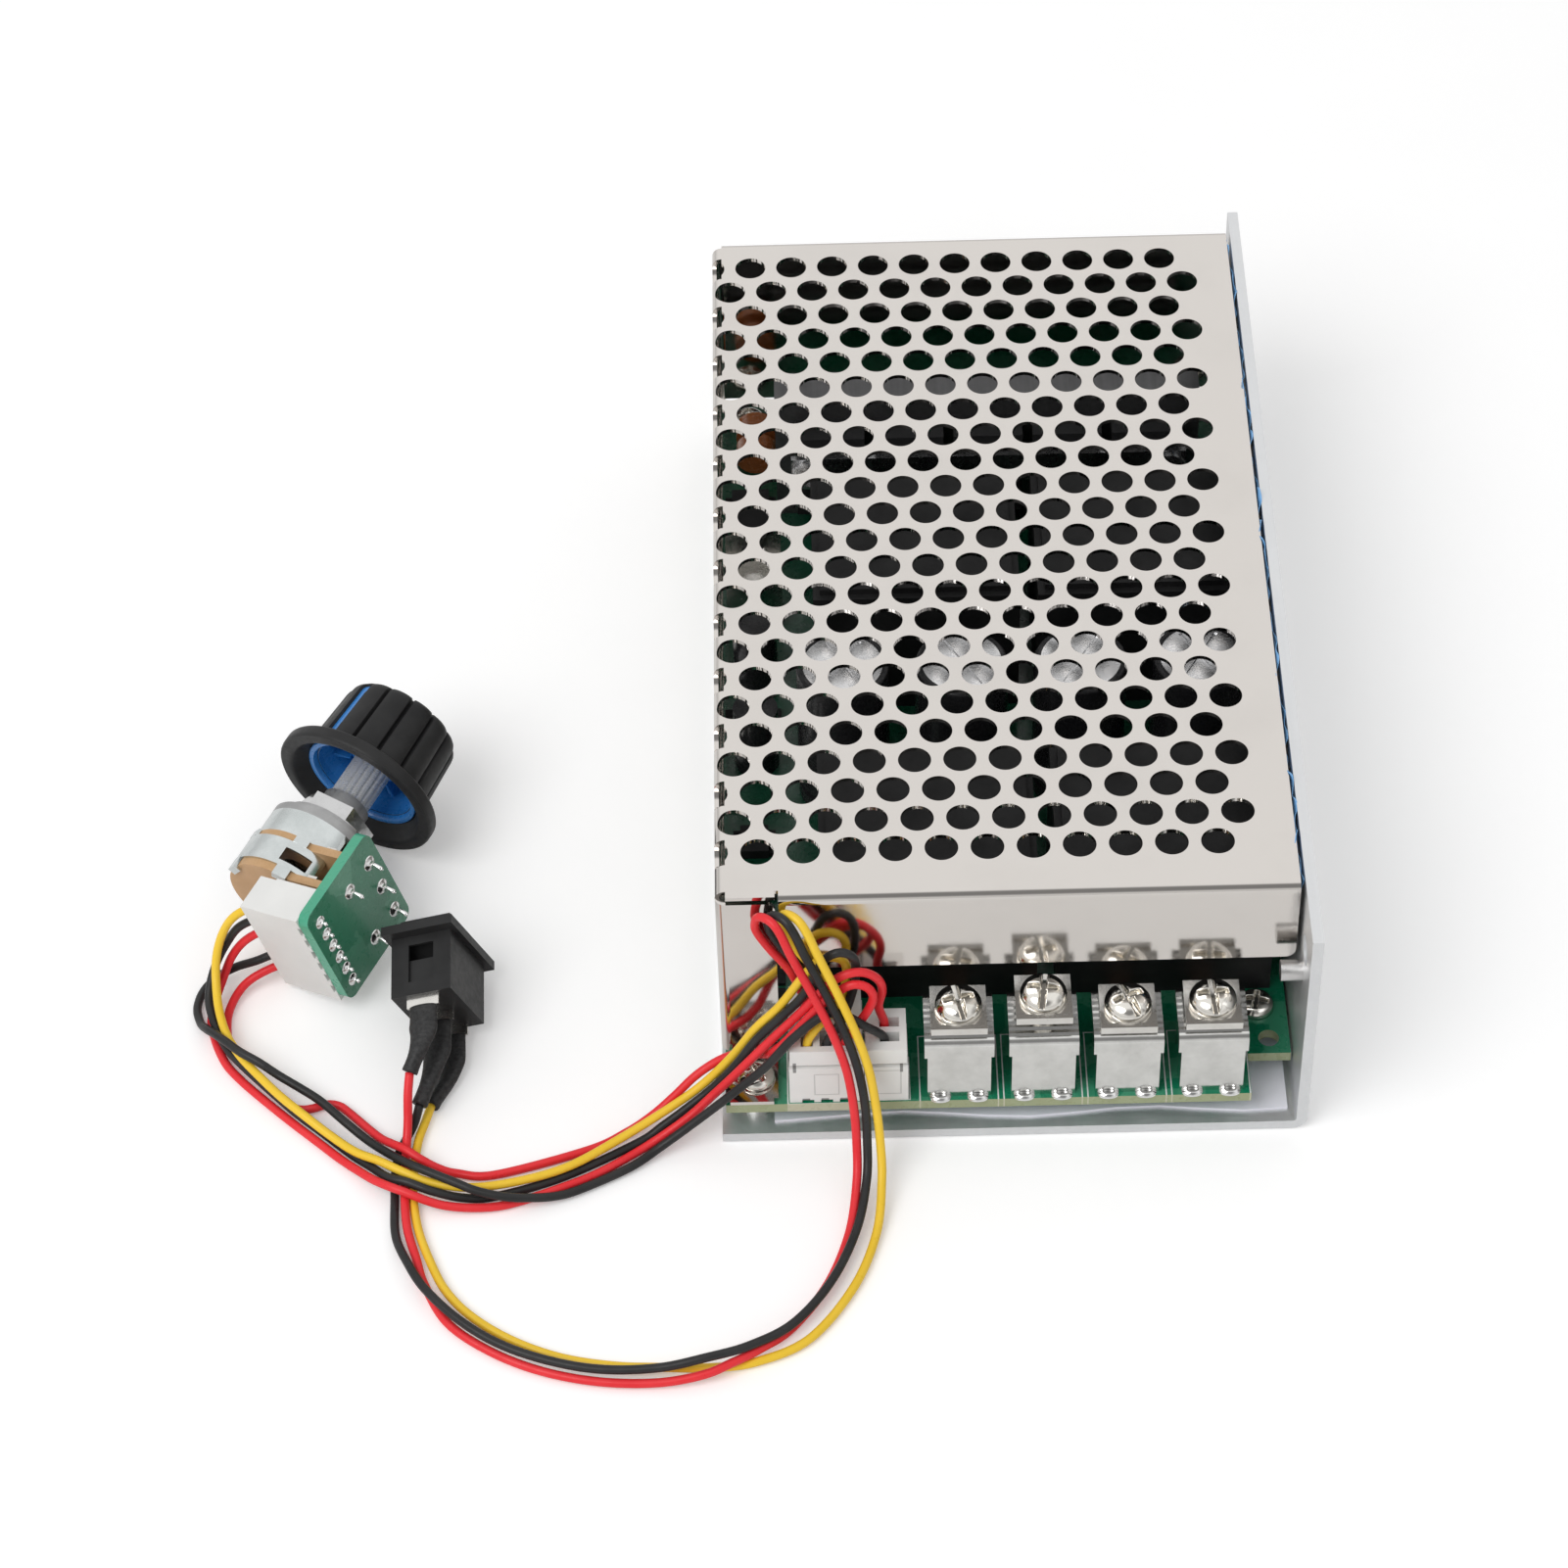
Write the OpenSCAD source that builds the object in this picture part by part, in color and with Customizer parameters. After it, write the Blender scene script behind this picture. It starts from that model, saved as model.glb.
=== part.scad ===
// Speed controller for a brushed motor: a folded plate case under a perforated
// cover, four screw terminals, a speed knob and a rocker switch on leads.
// Millimetres. The origin is the centre of the underside of the base plate,
// +X is toward the plate's wall, +Y is away from the terminals, +Z is up.

/* [Case plate] */
// Width of the base plate.
base_w = 78; // [76:0.5:84]
// Depth of the base plate, front to back.
base_d = 142; // [140:0.5:150]
// Height of the wall, and of the closed case.
case_h = 38; // [37:0.5:46]
// Thickness of the plate.
plate_t = 1.5; // [1.2:0.1:1.8]
// Outer radius of the fold between base and wall.
plate_fold_r = 2; // [1.9:0.1:3]
// Spacing of the tapped fixing holes, side to side.
fix_pitch_x = 55; // [48:1:56]
// Spacing of the tapped fixing holes, front to back.
fix_pitch_y = 120; // [110:1:122]
// Nominal thread of the fixing holes.
fix_hole_d = 3; // [2.5:0.5:4]
// Plain hole in the wall.
wall_hole_d = 4.1; // [3:0.1:5]
// Wall hole from the front edge.
wall_hole_in = 5.8; // [5:0.1:9]
// Wall hole above the underside.
wall_hole_z = 29.8; // [29:0.1:32]
// Diameter of the earth stud.
stud_d = 2.8; // [2.5:0.1:3.5]
// How far the stud stands in from the wall.
stud_out = 2.9; // [2:0.1:4]
// Stud from the front edge.
stud_in = 6.5; // [5:0.1:9]
// Stud above the underside.
stud_z = 25; // [24:0.1:25.5]
// Thickness of the insulating sheet on the base.
sheet_t = 0.4; // [0.2:0.1:0.6]

/* [Board] */
// Height of the standoffs under the board.
standoff_h = 3.3; // [3:0.1:4]
// Diameter of the standoffs.
standoff_d = 4.5; // [4.2:0.1:5]
// Thickness of the board.
pcb_t = 1.6; // [1.4:0.1:1.8]
// Board's front edge behind the plate's front edge.
pcb_front_in = 1; // [0.5:0.1:1.5]
// Board's back edge in front of the plate's back edge.
pcb_back_in = 5; // [4.9:0.1:6]
// Board's left edge inside the plate's left edge.
pcb_left_in = 0.6; // [0.3:0.1:0.8]
// Gap between the board and the wall.
pcb_wall_gap = 0.3; // [0.2:0.1:0.6]
// Width of the notch in the board's front right corner.
pcb_notch_w = 5.8; // [4:0.1:6]
// Depth of the same notch.
pcb_notch_d = 6.7; // [5:0.1:7]
// Nominal thread of the board's screws.
screw_d = 2.5; // [2:0.1:3]
// Diameter of their heads.
screw_head_d = 5; // [4.5:0.1:5.5]
// Height of their heads.
screw_head_h = 1.7; // [1.2:0.1:2]

/* [Cover] */
// Thickness of the cover's sheet.
cover_t = 0.6; // [0.5:0.05:0.8]
// Outer radius of the cover's folds.
cover_fold_r = 1.4; // [1.2:0.1:1.8]
// Cover's side inside the plate's left edge.
cover_side_in = 0.1; // [0:0.05:0.3]
// Gap between the cover and the wall.
cover_gap = 0.6; // [0.4:0.05:0.9]
// Cover's front face behind the plate's front edge.
cover_front_in = 9.7; // [9.5:0.1:10.5]
// Cover's back face in front of the plate's back edge.
cover_back_in = 3.8; // [3.2:0.1:4]
// Drop of the front lip over the terminals, as a share of the case's height.
lip_h_share = 0.36842; // [0.27:0.005:0.39]
// Width of the front wing on the left.
wing_w = 7.8; // [7:0.1:8]
// Slit between the wing and the lip, and over the wing.
slit_w = 0.45; // [0.3:0.05:0.6]
// Length of the foot in front of the wing.
foot_l = 8.7; // [8:0.1:8.7]
// Gap between the cover's side and the board.
side_gap = 0.7; // [0.4:0.1:1]
// Diameter of the vent holes.
vent_d = 4.4; // [3:0.1:4.8]
// Spacing of the vent holes, in every direction.
vent_pitch = 6; // [5.8:0.1:6.2]
// Rows of vent holes, front to back.
vent_rows = 23; // [19:1:23]
// First hole of the odd rows from the cover's right edge.
vent_edge = 7.17; // [6:0.1:8]

/* [Screw terminals] */
// Spacing of the four terminals.
term_pitch = 11.15; // [10.5:0.05:12]
// First terminal's screw from the board's centre line, negative to the left.
term_first_x = -7.4; // [-8:0.1:-7]
// Terminal screws from the plate's front edge.
term_screw_in = 6.5; // [6.3:0.1:7]
// Width of a terminal.
term_w = 9.2; // [8.5:0.1:9.5]
// Height of a terminal above the board, as a share of the case's height.
term_h_share = 0.28947; // [0.265:0.001:0.315]
// Terminal's front face ahead of its screw.
term_front = 4.8; // [4.6:0.1:5]
// Terminal's rear face behind its screw.
term_back = 4.3; // [4:0.1:4.6]
// Thickness of the terminal's metal.
term_t = 1.2; // [1:0.1:1.5]
// Spacing of the grip ridges on the terminal.
ridge_pitch = 1.03; // [0.9:0.01:1.1]
// Thread of the terminal screws.
term_screw_d = 3.4; // [3:0.1:3.8]
// Length of their threads.
term_screw_l = 8; // [7:0.1:8.5]
// Diameter of the terminal screws' heads.
term_head_d = 6.4; // [6:0.1:7]
// Height of the same heads.
term_head_h = 2.3; // [2:0.1:2.6]
// Side of the square clamp washers.
washer_w = 7.4; // [7:0.1:7.8]
// Thickness of the clamp washers.
washer_t = 0.8; // [0.6:0.1:1]
// How far each clamp is open, left to right.
clamp_open = [0.9, 2.7, 0.4, 0.8];

/* [Lead connectors] */
// Spacing of the ways.
way_pitch = 2.5; // [2.45:0.01:2.55]
// Outer way to the end of the socket.
way_end = 2.45; // [2.4:0.01:2.5]
// Depth of the socket across its ways.
socket_d = 5.75; // [5.5:0.05:6]
// Height of the socket.
socket_h = 7; // [6.5:0.1:7.5]
// Height of the plug's top above the board.
mated_h = 9.8; // [9.5:0.1:10.5]
// Left end of the two front connectors from the plate's left edge.
conn_left_in = 9.1; // [9:0.1:9.3]
// Connectors' front faces behind the plate's front edge.
conn_front_in = 1.2; // [1.1:0.1:1.4]

/* [Board parts] */
// Diameter of the four large capacitors.
cap_d = 12.8; // [12:0.1:13.5]
// Height of the large capacitors, as a share of the room over the board.
cap_h_share = 0.79355; // [0.71:0.005:0.83]
// Spacing of the large capacitors, as a share of the board's width.
cap_pitch_share = 0.21627; // [0.206:0.001:0.224]
// First large capacitor's place, as a share of the board's width.
cap_first_share = 0.22487; // [0.218:0.001:0.23]
// Row of large capacitors, as a share of the board's depth.
cap_row_share = 0.41912; // [0.416:0.001:0.426]
// Width of a relay, as a share of the board's width.
relay_w_share = 0.3836; // [0.345:0.001:0.39]
// Depth of a relay, as a share of the board's depth.
relay_d_share = 0.18382; // [0.165:0.001:0.19]
// Height of a relay, as a share of the room over the board.
relay_h_share = 0.74194; // [0.65:0.01:0.83]
// Spacing of the relays side to side, as a share of the board's width.
relay_pitch_share = 0.41667; // [0.411:0.001:0.423]
// Front pair of relays, as a share of the board's depth.
relay_front_share = 0.22426; // [0.216:0.001:0.234]
// Rear pair of relays, as a share of the board's depth.
relay_rear_share = 0.62132; // [0.612:0.001:0.631]
// Length of the ridged heat sink bar, as a share of the board's width.
sink_w_share = 0.82011; // [0.745:0.005:0.83]
// Depth of the heat sink bar.
sink_d = 8; // [6:0.5:9]
// Height of the heat sink bar, as a share of the room over the board.
sink_h_share = 0.70968; // [0.65:0.01:0.83]
// Front face of the heat sink bar, as a share of the board's depth.
sink_row_share = 0.82353; // [0.817:0.001:0.837]
// Spacing of the power transistors, as a share of the board's width.
fet_pitch_share = 0.15212; // [0.146:0.001:0.158]

/* [Speed control] */
// Where the control's mounting face centre lies.
pot_at = [-94.6, -25.94, 10.76];
// How the control is turned where it lies.
pot_turn = [166.9, -7.79, 60.83];
// Radius of the control's case.
pot_r = 8.3; // [8:0.1:8.6]
// Depth of the case behind its mounting face.
pot_depth = 10.5; // [10.2:0.1:11]
// Thickness of the control's two resin wafers.
wafer_t = 1.2; // [1:0.1:1.4]
// Spacing of the control's lugs.
lug_pitch = 5; // [4.8:0.1:5.2]
// Rear face of the front lugs behind the mounting face.
front_lug_a = 3.9; // [3.8:0.1:4.1]
// Rear lugs behind the mounting face.
rear_lug_a = 8.98; // [8.8:0.1:9.1]
// Thread of the control's bush.
bush_d = 7; // [6.8:0.1:7.5]
// Length of the bush from the mounting face.
bush_l = 7.6; // [7:0.1:8.5]
// Height of the cast nose under the nut.
nose_h = 2.35; // [2:0.05:2.6]
// Width of the nut across its flats.
nut_af = 10; // [9.5:0.1:10.5]
// Height of the nut.
nut_h = 2.3; // [2:0.1:2.5]
// Diameter of the shaft.
shaft_d = 6; // [5.8:0.1:6.2]
// Shaft's tip from the mounting face.
shaft_l = 20; // [18:0.1:21]
// Play between the shaft and its bore, in radius.
shaft_play = 0.05; // [0.03:0.01:0.08]

/* [Knob] */
// Underside of the knob from the mounting face.
knob_a = 9.76; // [9.5:0.01:10.5]
// Height of the knob.
knob_h = 13.8; // [13.5:0.1:14.5]
// Radius of the knob's skirt.
skirt_r = 12.16; // [11.8:0.01:12.2]
// Height of the skirt's rim.
skirt_h = 1.9; // [1.5:0.1:2.2]
// Radius of the knob's body just above the skirt.
grip_r = 9.35; // [9:0.05:9.6]
// Radius of the knob's body under its crown.
crown_r = 8.75; // [8.5:0.05:8.9]
// Number of grooves round the knob.
groove_n = 14; // [10:1:16]
// Width of a groove.
groove_w = 0.45; // [0.3:0.05:0.6]
// Outer radius of the blue insert.
insert_r = 7.5; // [7.2:0.1:7.7]
// Width of the pointer stripe.
pointer_w = 1.7; // [1.2:0.1:2]
// Angle of the pointer round the knob.
pointer_turn = 344; // [0:1:359]

/* [Control board] */
// Gap from the control's axis to its board.
ctl_n = 11.95; // [11.8:0.05:12.3]
// Length of the board along the control's axis.
ctl_l = 16.3; // [16:0.1:16.6]
// Width of the board.
ctl_w = 17.6; // [17.4:0.1:18]
// Board's front edge behind the mounting face.
ctl_front = 1.43; // [1.2:0.01:1.5]
// Board's top edge above the control's axis.
ctl_top = 9.27; // [9.2:0.01:9.4]
// Row of connector pins behind the mounting face.
ctl_row = 15.53; // [15.4:0.01:15.8]
// First connector pin above the control's axis.
ctl_first = 6.54; // [6.5:0.01:6.6]

/* [Rocker switch] */
// Where the underside of the switch's flange lies.
switch_at = [-77.46, -44.34, 8.85];
// How the switch is turned where it lies.
switch_turn = [198.55, 12.65, -89.03];
// Width of the flange.
flange_w = 10.3; // [10:0.1:10.8]
// Length of the flange.
flange_l = 15.17; // [15:0.01:15.5]
// Thickness of the flange.
flange_t = 1.3; // [1.1:0.1:1.5]
// Width of the switch's body.
sw_w = 8.64; // [8.4:0.01:8.8]
// Length of the switch's body.
sw_l = 11.7; // [11.5:0.1:12.2]
// Depth of the switch's body.
sw_depth = 8.9; // [8.5:0.1:9.6]
// Spacing of the switch's lugs.
sw_lug_pitch = 5; // [4.9:0.05:5.1]
// Width of a lug.
sw_lug_w = 4.6; // [4.4:0.1:4.8]
// Length of a lug.
sw_lug_l = 1.6; // [1.5:0.1:1.7]
// Radius of the rocker's hinge pin.
rock_pin_r = 0.8; // [0.6:0.05:1]
// Width of the rocker.
rocker_w = 7; // [6.6:0.1:7.2]
// Length of the rocker.
rocker_l = 10.4; // [10:0.1:10.6]

/* [Leads] */
// Outer diameter of the leads.
lead_d = 1.2; // [1:0.05:1.3]

/* [Hidden] */
$fn = 48;

// One overrun for every cut.
eps = 0.5;
// One clearance for plain holes and slots round what goes through them.
clear = 0.1;

// Places along the case.
wall_x = base_w / 2 - plate_t;
front_y = -base_d / 2;
back_y = base_d / 2;
pcb_z = plate_t + standoff_h;
pcb_top = pcb_z + pcb_t;
pcb_x0 = -base_w / 2 + pcb_left_in;
pcb_x1 = wall_x - pcb_wall_gap;
pcb_y0 = front_y + pcb_front_in;
pcb_y1 = back_y - pcb_back_in;

// Sizes and places of the tall parts, from the board and the room over it.
room_w = pcb_x1 - pcb_x0;
room_d = pcb_y1 - pcb_y0;
room_h = case_h - cover_t - pcb_top;
cap_h = cap_h_share * room_h;
cap_pitch = cap_pitch_share * room_w;
cap_first_x = pcb_x0 + cap_first_share * room_w;
cap_y = pcb_y0 + cap_row_share * room_d;
relay_w = relay_w_share * room_w;
relay_d = relay_d_share * room_d;
relay_h = relay_h_share * room_h;
relay_pitch = relay_pitch_share * room_w;
relay_front_y = pcb_y0 + relay_front_share * room_d;
relay_rear_y = pcb_y0 + relay_rear_share * room_d;
sink_w = sink_w_share * room_w;
sink_h = sink_h_share * room_h;
sink_y = pcb_y0 + sink_row_share * room_d;
fet_pitch = fet_pitch_share * room_w;
lip_h = lip_h_share * case_h;
term_h = term_h_share * case_h;

cover_x0 = -base_w / 2 + cover_side_in;
cover_x1 = wall_x - cover_gap;
cover_y0 = front_y + cover_front_in;
cover_y1 = back_y - cover_back_in;
cover_w = cover_x1 - cover_x0;
side_z = pcb_top + side_gap;
lip_x0 = cover_x0 + wing_w + slit_w;
fold_in = cover_fold_r - cover_t;
// The foot's fold stands on the board.
foot_x0 = pcb_x0;
foot_x1 = cover_x0 + wing_w - cover_t / 2;
foot_r = 2 * cover_t;
foot_y = cover_y0 - foot_l / 2;
// Tabs of the cover's back panel that stand in slots of the base.
tab_w = 6;
tab_pitch = 40;

// Holes for the board's screws: the cover's foot, then the other four.
foot_hole = [foot_x0 + (foot_x1 - foot_x0) / 2 + cover_t, foot_y - cover_t / 2];
side_in = foot_hole[0] - pcb_x0;
board_holes = [
  [pcb_x0 + side_in, pcb_y1 - side_in],
  [pcb_x1 - side_in, pcb_y1 - side_in],
  [pcb_x1 - side_in, (cap_y + cap_d / 2 + relay_rear_y - relay_d / 2) / 2],
  [pcb_x1 - side_in, pcb_y0 + pcb_notch_d + 2 * side_in]];
spare_hole_d = 2.8;
spare_hole_in = [2.8, 2.6];
all_holes = concat([foot_hole], board_holes);

// The terminals' screws.
term_y = front_y + term_screw_in;
function term_x(i) = term_first_x + i * term_pitch;
leg_pitch = 5;
leg_w = 2;
leg_out = 0.7;
term_step_z = 3;
term_step_w = 0.4;
ridge_h = 0.3;

// Lead connectors, each with the centre of its rows and its turn.
function conn_l(n) = (n - 1) * way_pitch + 2 * way_end;
conn_gap = 0.1;
conn_3_x = -base_w / 2 + conn_left_in + conn_l(3) / 2;
conn_3_y = front_y + conn_front_in + socket_d / 2;
conn_2_x = conn_3_x + conn_l(3) / 2 + conn_gap + socket_d / 2;
conn_2_y = front_y + conn_front_in + conn_l(2) / 2;
conn_rear_y = conn_3_y + socket_d + conn_gap;

module fold(r, t, l) {
  linear_extrude(l) difference() {
    intersection() {
      circle(r);
      square(r);
    }
    circle(r - t);
  }
}

// A flat piece drawn in Y and Z, from x to x + t.
module yz_piece(x, t) {
  translate([x, 0, 0]) rotate([90, 0, 90]) linear_extrude(t) children();
}

// A flat piece drawn in X and Z, from y to y + t.
module xz_piece(y, t) {
  translate([0, y + t, 0]) rotate([90, 0, 0]) linear_extrude(t) children();
}

// A box from one corner to the other.
module span(a, b) {
  translate(a) cube(b - a);
}

// A box centred in X and Y, standing on z.
module stand(x, y, z, w, d, h) {
  translate([x - w / 2, y - d / 2, z]) cube([w, d, h]);
}

module hole_at(p, d, z0, z1) {
  translate([p[0], p[1], z0 - eps]) cylinder(d = d, h = z1 - z0 + 2 * eps);
}

// Pan head with a cross recess, its underside at zero, pointing up.
module pan_head(d, h) {
  recess_l = d * 0.6;
  recess_w = d / 6;
  difference() {
    rotate_extrude() intersection() {
      square([d / 2, h]);
      translate([0, h - d]) circle(d, $fn = 96);
    }
    for (q = [0, 90]) rotate(q)
      translate([-recess_l / 2, -recess_w / 2, h / 2]) cube([recess_l, recess_w, h]);
  }
}

module pan_screw(l) {
  pan_head(screw_head_d, screw_head_h);
  translate([0, 0, -l]) cylinder(d = screw_d, h = l);
}

module chassis() {
  color([0.78, 0.78, 0.79]) difference() {
    translate([0, back_y, 0]) rotate([90, 0, 0]) linear_extrude(base_d) {
      translate([-base_w / 2, 0]) square([base_w - plate_fold_r, plate_t]);
      translate([wall_x, plate_fold_r]) square([plate_t, case_h - plate_fold_r]);
      translate([base_w / 2 - plate_fold_r, plate_fold_r]) difference() {
        intersection() {
          circle(plate_fold_r);
          translate([0, -plate_fold_r]) square(plate_fold_r);
        }
        circle(plate_fold_r - plate_t);
      }
    }
    for (x = [-fix_pitch_x / 2, fix_pitch_x / 2], y = [-fix_pitch_y / 2, fix_pitch_y / 2])
      hole_at([x, y], fix_hole_d, 0, plate_t);
    for (p = all_holes) hole_at(p, screw_d + 2 * clear, 0, plate_t);
    for (x = [-tab_pitch / 2, tab_pitch / 2])
      span([x - tab_w / 2 - clear, cover_y1 - cover_t - clear, -eps],
        [x + tab_w / 2 + clear, cover_y1 + clear, plate_t + eps]);
    translate([wall_x - eps, front_y + wall_hole_in, wall_hole_z]) rotate([0, 90, 0])
      cylinder(d = wall_hole_d, h = plate_t + 2 * eps);
    translate([wall_x - eps, front_y + stud_in, stud_z]) rotate([0, 90, 0])
      cylinder(d = stud_d, h = plate_t + 2 * eps);
  }
}

module earth_stud() {
  color([0.7, 0.7, 0.7]) translate([wall_x - stud_out, front_y + stud_in, stud_z])
    rotate([0, 90, 0]) cylinder(d = stud_d, h = stud_out + plate_t);
}

// The sheet's front edge waves by a share of its setback.
sheet_in = 3;
sheet_left_in = 7;
sheet_wave_shares = [0.2, 0.5, 0.8, 1, 0.7, 0.3, 0.1, 0.4, 0.8, 0.9, 0.5, 0.2, 0.4];

module insulating_sheet() {
  n = len(sheet_wave_shares);
  x0 = -base_w / 2 + sheet_left_in;
  x1 = wall_x - plate_fold_r / 2;
  front = [for (i = [0:n - 1])
    [x0 + (x1 - x0) * i / (n - 1), front_y + sheet_in * (1 + sheet_wave_shares[i]) / 2]];
  color([0.93, 0.93, 0.97]) difference() {
    translate([0, 0, plate_t]) linear_extrude(sheet_t)
      polygon(concat(front, [[x1, cover_y1 - 2 * cover_t], [x0, cover_y1 - 2 * cover_t]]));
    for (p = board_holes) hole_at(p, standoff_d + 2 * clear, plate_t, plate_t + sheet_t);
  }
}

module standoffs() {
  color([0.75, 0.75, 0.75]) for (p = all_holes) difference() {
    translate([p[0], p[1], plate_t]) cylinder(d = standoff_d, h = standoff_h);
    hole_at(p, screw_d, plate_t, pcb_z);
  }
}

module main_board() {
  color([0.05, 0.4, 0.22]) difference() {
    translate([0, 0, pcb_z]) linear_extrude(pcb_t) polygon([
      [pcb_x0, pcb_y0], [pcb_x1 - pcb_notch_w, pcb_y0],
      [pcb_x1 - pcb_notch_w, pcb_y0 + pcb_notch_d], [pcb_x1, pcb_y0 + pcb_notch_d],
      [pcb_x1, pcb_y1], [pcb_x0, pcb_y1]]);
    for (p = all_holes) hole_at(p, screw_d + 2 * clear, pcb_z, pcb_top);
    hole_at([pcb_x1 - spare_hole_in[0], pcb_y0 + pcb_notch_d + spare_hole_in[1]],
      spare_hole_d, pcb_z, pcb_top);
    for (i = [0:3], s = [-1, 1])
      span([term_x(i) + s * leg_pitch / 2 - leg_w / 2 - clear, term_y - term_front - clear,
          pcb_z - eps],
        [term_x(i) + s * leg_pitch / 2 + leg_w / 2 + clear,
          term_y - term_front + term_t + clear, pcb_top + eps]);
  }
}

module board_screws() {
  color([0.75, 0.75, 0.77]) for (p = board_holes)
    translate([p[0], p[1], pcb_top]) pan_screw(pcb_t + standoff_h - clear);
}

module foot_screw() {
  color([0.8, 0.8, 0.82]) translate([foot_hole[0], foot_hole[1], pcb_top + cover_t])
    pan_screw(cover_t + pcb_t + standoff_h - clear);
}

// Vent holes run on from the top over the fold and down the side: u is the
// distance from the cover's right edge, along the top and then down the side.
row_step = vent_pitch * sqrt(3) / 2;
side_h = case_h - side_z;
function vent_y(j) = cover_y1 - vent_pitch - j * row_step;
function vent_u0(j) = vent_edge + (j % 2 == 0 ? vent_pitch / 2 : 0);
vent_land = vent_d / 2 + 2 * cover_t;
function vents(u0, u1) = [for (j = [0:vent_rows - 1], k = [0:vent_rows])
  let (u = vent_u0(j) + k * vent_pitch) if (u > u0 && u < u1) [u, vent_y(j)]];

module cover() {
  r = cover_fold_r;
  t = cover_t;
  color([0.8, 0.8, 0.82]) difference() {
    union() {
      // Top, with its flat corner over the wing.
      translate([0, 0, case_h - t]) linear_extrude(t) difference() {
        union() {
          translate([cover_x0 + r, cover_y0 + r])
            square([cover_w - r, cover_y1 - cover_y0 - 2 * r]);
          translate([cover_x0 + r, cover_y0 + t / 2])
            square([lip_x0 - slit_w - cover_x0 - r, r]);
        }
        for (p = vents(0, cover_w - vent_d / 2 - r))
          translate([cover_x1 - p[0], p[1]]) circle(d = vent_d);
      }
      // Side.
      yz_piece(cover_x0, t) difference() {
        translate([cover_y0 + r, side_z])
          square([cover_y1 - cover_y0 - 2 * r, side_h - r]);
        for (p = vents(cover_w + r + vent_d / 2, cover_w + side_h - vent_land))
          translate([p[1], case_h - (p[0] - cover_w)]) circle(d = vent_d);
      }
      // Fold between top and side.
      translate([cover_x0 + r, cover_y1 - r, case_h - r]) rotate([90, 0, 0])
        mirror([1, 0, 0]) fold(r, t, cover_y1 - cover_y0 - 2 * r);
      // Front lip with its fold.
      translate([lip_x0, cover_y0 + r, case_h - r]) rotate([90, 0, 90])
        mirror([1, 0, 0]) fold(r, t, cover_x1 - lip_x0);
      xz_piece(cover_y0, t) {
        translate([lip_x0, case_h - lip_h + r])
          square([cover_x1 - lip_x0, lip_h - 2 * r]);
        translate([lip_x0, case_h - lip_h]) square([cover_x1 - lip_x0 - r, r]);
        translate([cover_x1 - r, case_h - lip_h + r]) circle(r);
      }
      // Wing with its fold and its foot.
      translate([cover_x0 + r, cover_y0 + r, side_z]) mirror([1, 0, 0]) mirror([0, 1, 0])
        fold(r, t, case_h - t - slit_w - side_z);
      xz_piece(cover_y0, t) {
        translate([cover_x0 + r, pcb_top + foot_r])
          square([wing_w - r, case_h - t - slit_w - r - pcb_top - foot_r]);
        translate([cover_x0 + r, pcb_top + foot_r])
          square([wing_w - 2 * r, case_h - t - slit_w - pcb_top - foot_r]);
        translate([cover_x0 + wing_w - r, case_h - t - slit_w - r]) circle(r);
      }
      translate([cover_x0 + r, cover_y0 - foot_r + t, pcb_top + foot_r])
        rotate([90, 0, 90]) mirror([0, 1, 0]) fold(foot_r, t, foot_x1 - cover_x0 - r);
      translate([0, 0, pcb_top]) linear_extrude(t) difference() {
        union() {
          translate([foot_x0, cover_y0 - foot_l + t])
            square([foot_x1 - foot_x0, foot_l - foot_r - t]);
          translate([cover_x0 + r, cover_y0 - foot_r])
            square([foot_x1 - cover_x0 - r, t]);
          translate([foot_x0 + t, cover_y0 - foot_l])
            square([foot_x1 - foot_x0 - 2 * t, t]);
        }
      }
      // Back panel with its folds and its two tabs.
      translate([cover_x0 + r, cover_y1 - r, case_h - r]) rotate([90, 0, 90])
        fold(r, t, cover_w - r);
      translate([cover_x0 + r, cover_y1 - r, side_z]) mirror([1, 0, 0])
        fold(r, t, side_h - r);
      xz_piece(cover_y1 - t, t) {
        translate([cover_x0 + r, side_z]) square([cover_w - r, side_h - r]);
        for (x = [-tab_pitch / 2, tab_pitch / 2])
          translate([x - tab_w / 2, clear]) square([tab_w, side_z]);
      }
    }
    // Vent holes that meet the fold.
    for (p = vents(cover_w - vent_d / 2 - r, cover_w))
      hole_at([cover_x1 - p[0], p[1]], vent_d, case_h - r, case_h);
    for (p = vents(cover_w, cover_w + r + vent_d / 2)) {
      hole_at([cover_x0 + cover_w - p[0], p[1]], vent_d, case_h - t - eps, case_h);
      translate([cover_x0 - eps, p[1], case_h - (p[0] - cover_w)]) rotate([0, 90, 0])
        cylinder(d = vent_d, h = r + eps);
    }
    hole_at(foot_hole, screw_d + 2 * clear, pcb_top, pcb_top + t);
  }
}

// Left-over protective film, a torn strip in the gap beside the wall.
film_t = 0.15;
film_h = 2.6;
film_shares = [0, 0.7, 0.45, 0.9, 0.3, 1, 0.55, 0.8, 0.2, 0.75, 0.4, 0.95, 0.6, 0.85,
  0.35, 0.7, 0.5, 0.9, 0.1];

module film_strip() {
  n = len(film_shares);
  y0 = cover_y0 + cover_fold_r;
  y1 = cover_y1 - 2 * vent_pitch;
  color([0.1, 0.35, 0.85]) yz_piece(cover_x1, film_t) polygon(concat(
    [for (i = [0:n - 1]) [y0 + (y1 - y0) * i / (n - 1),
      case_h - cover_t + cover_t * film_shares[i] / 2]],
    [[y1, case_h - film_h], [y0, case_h - film_h]]));
}

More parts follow.
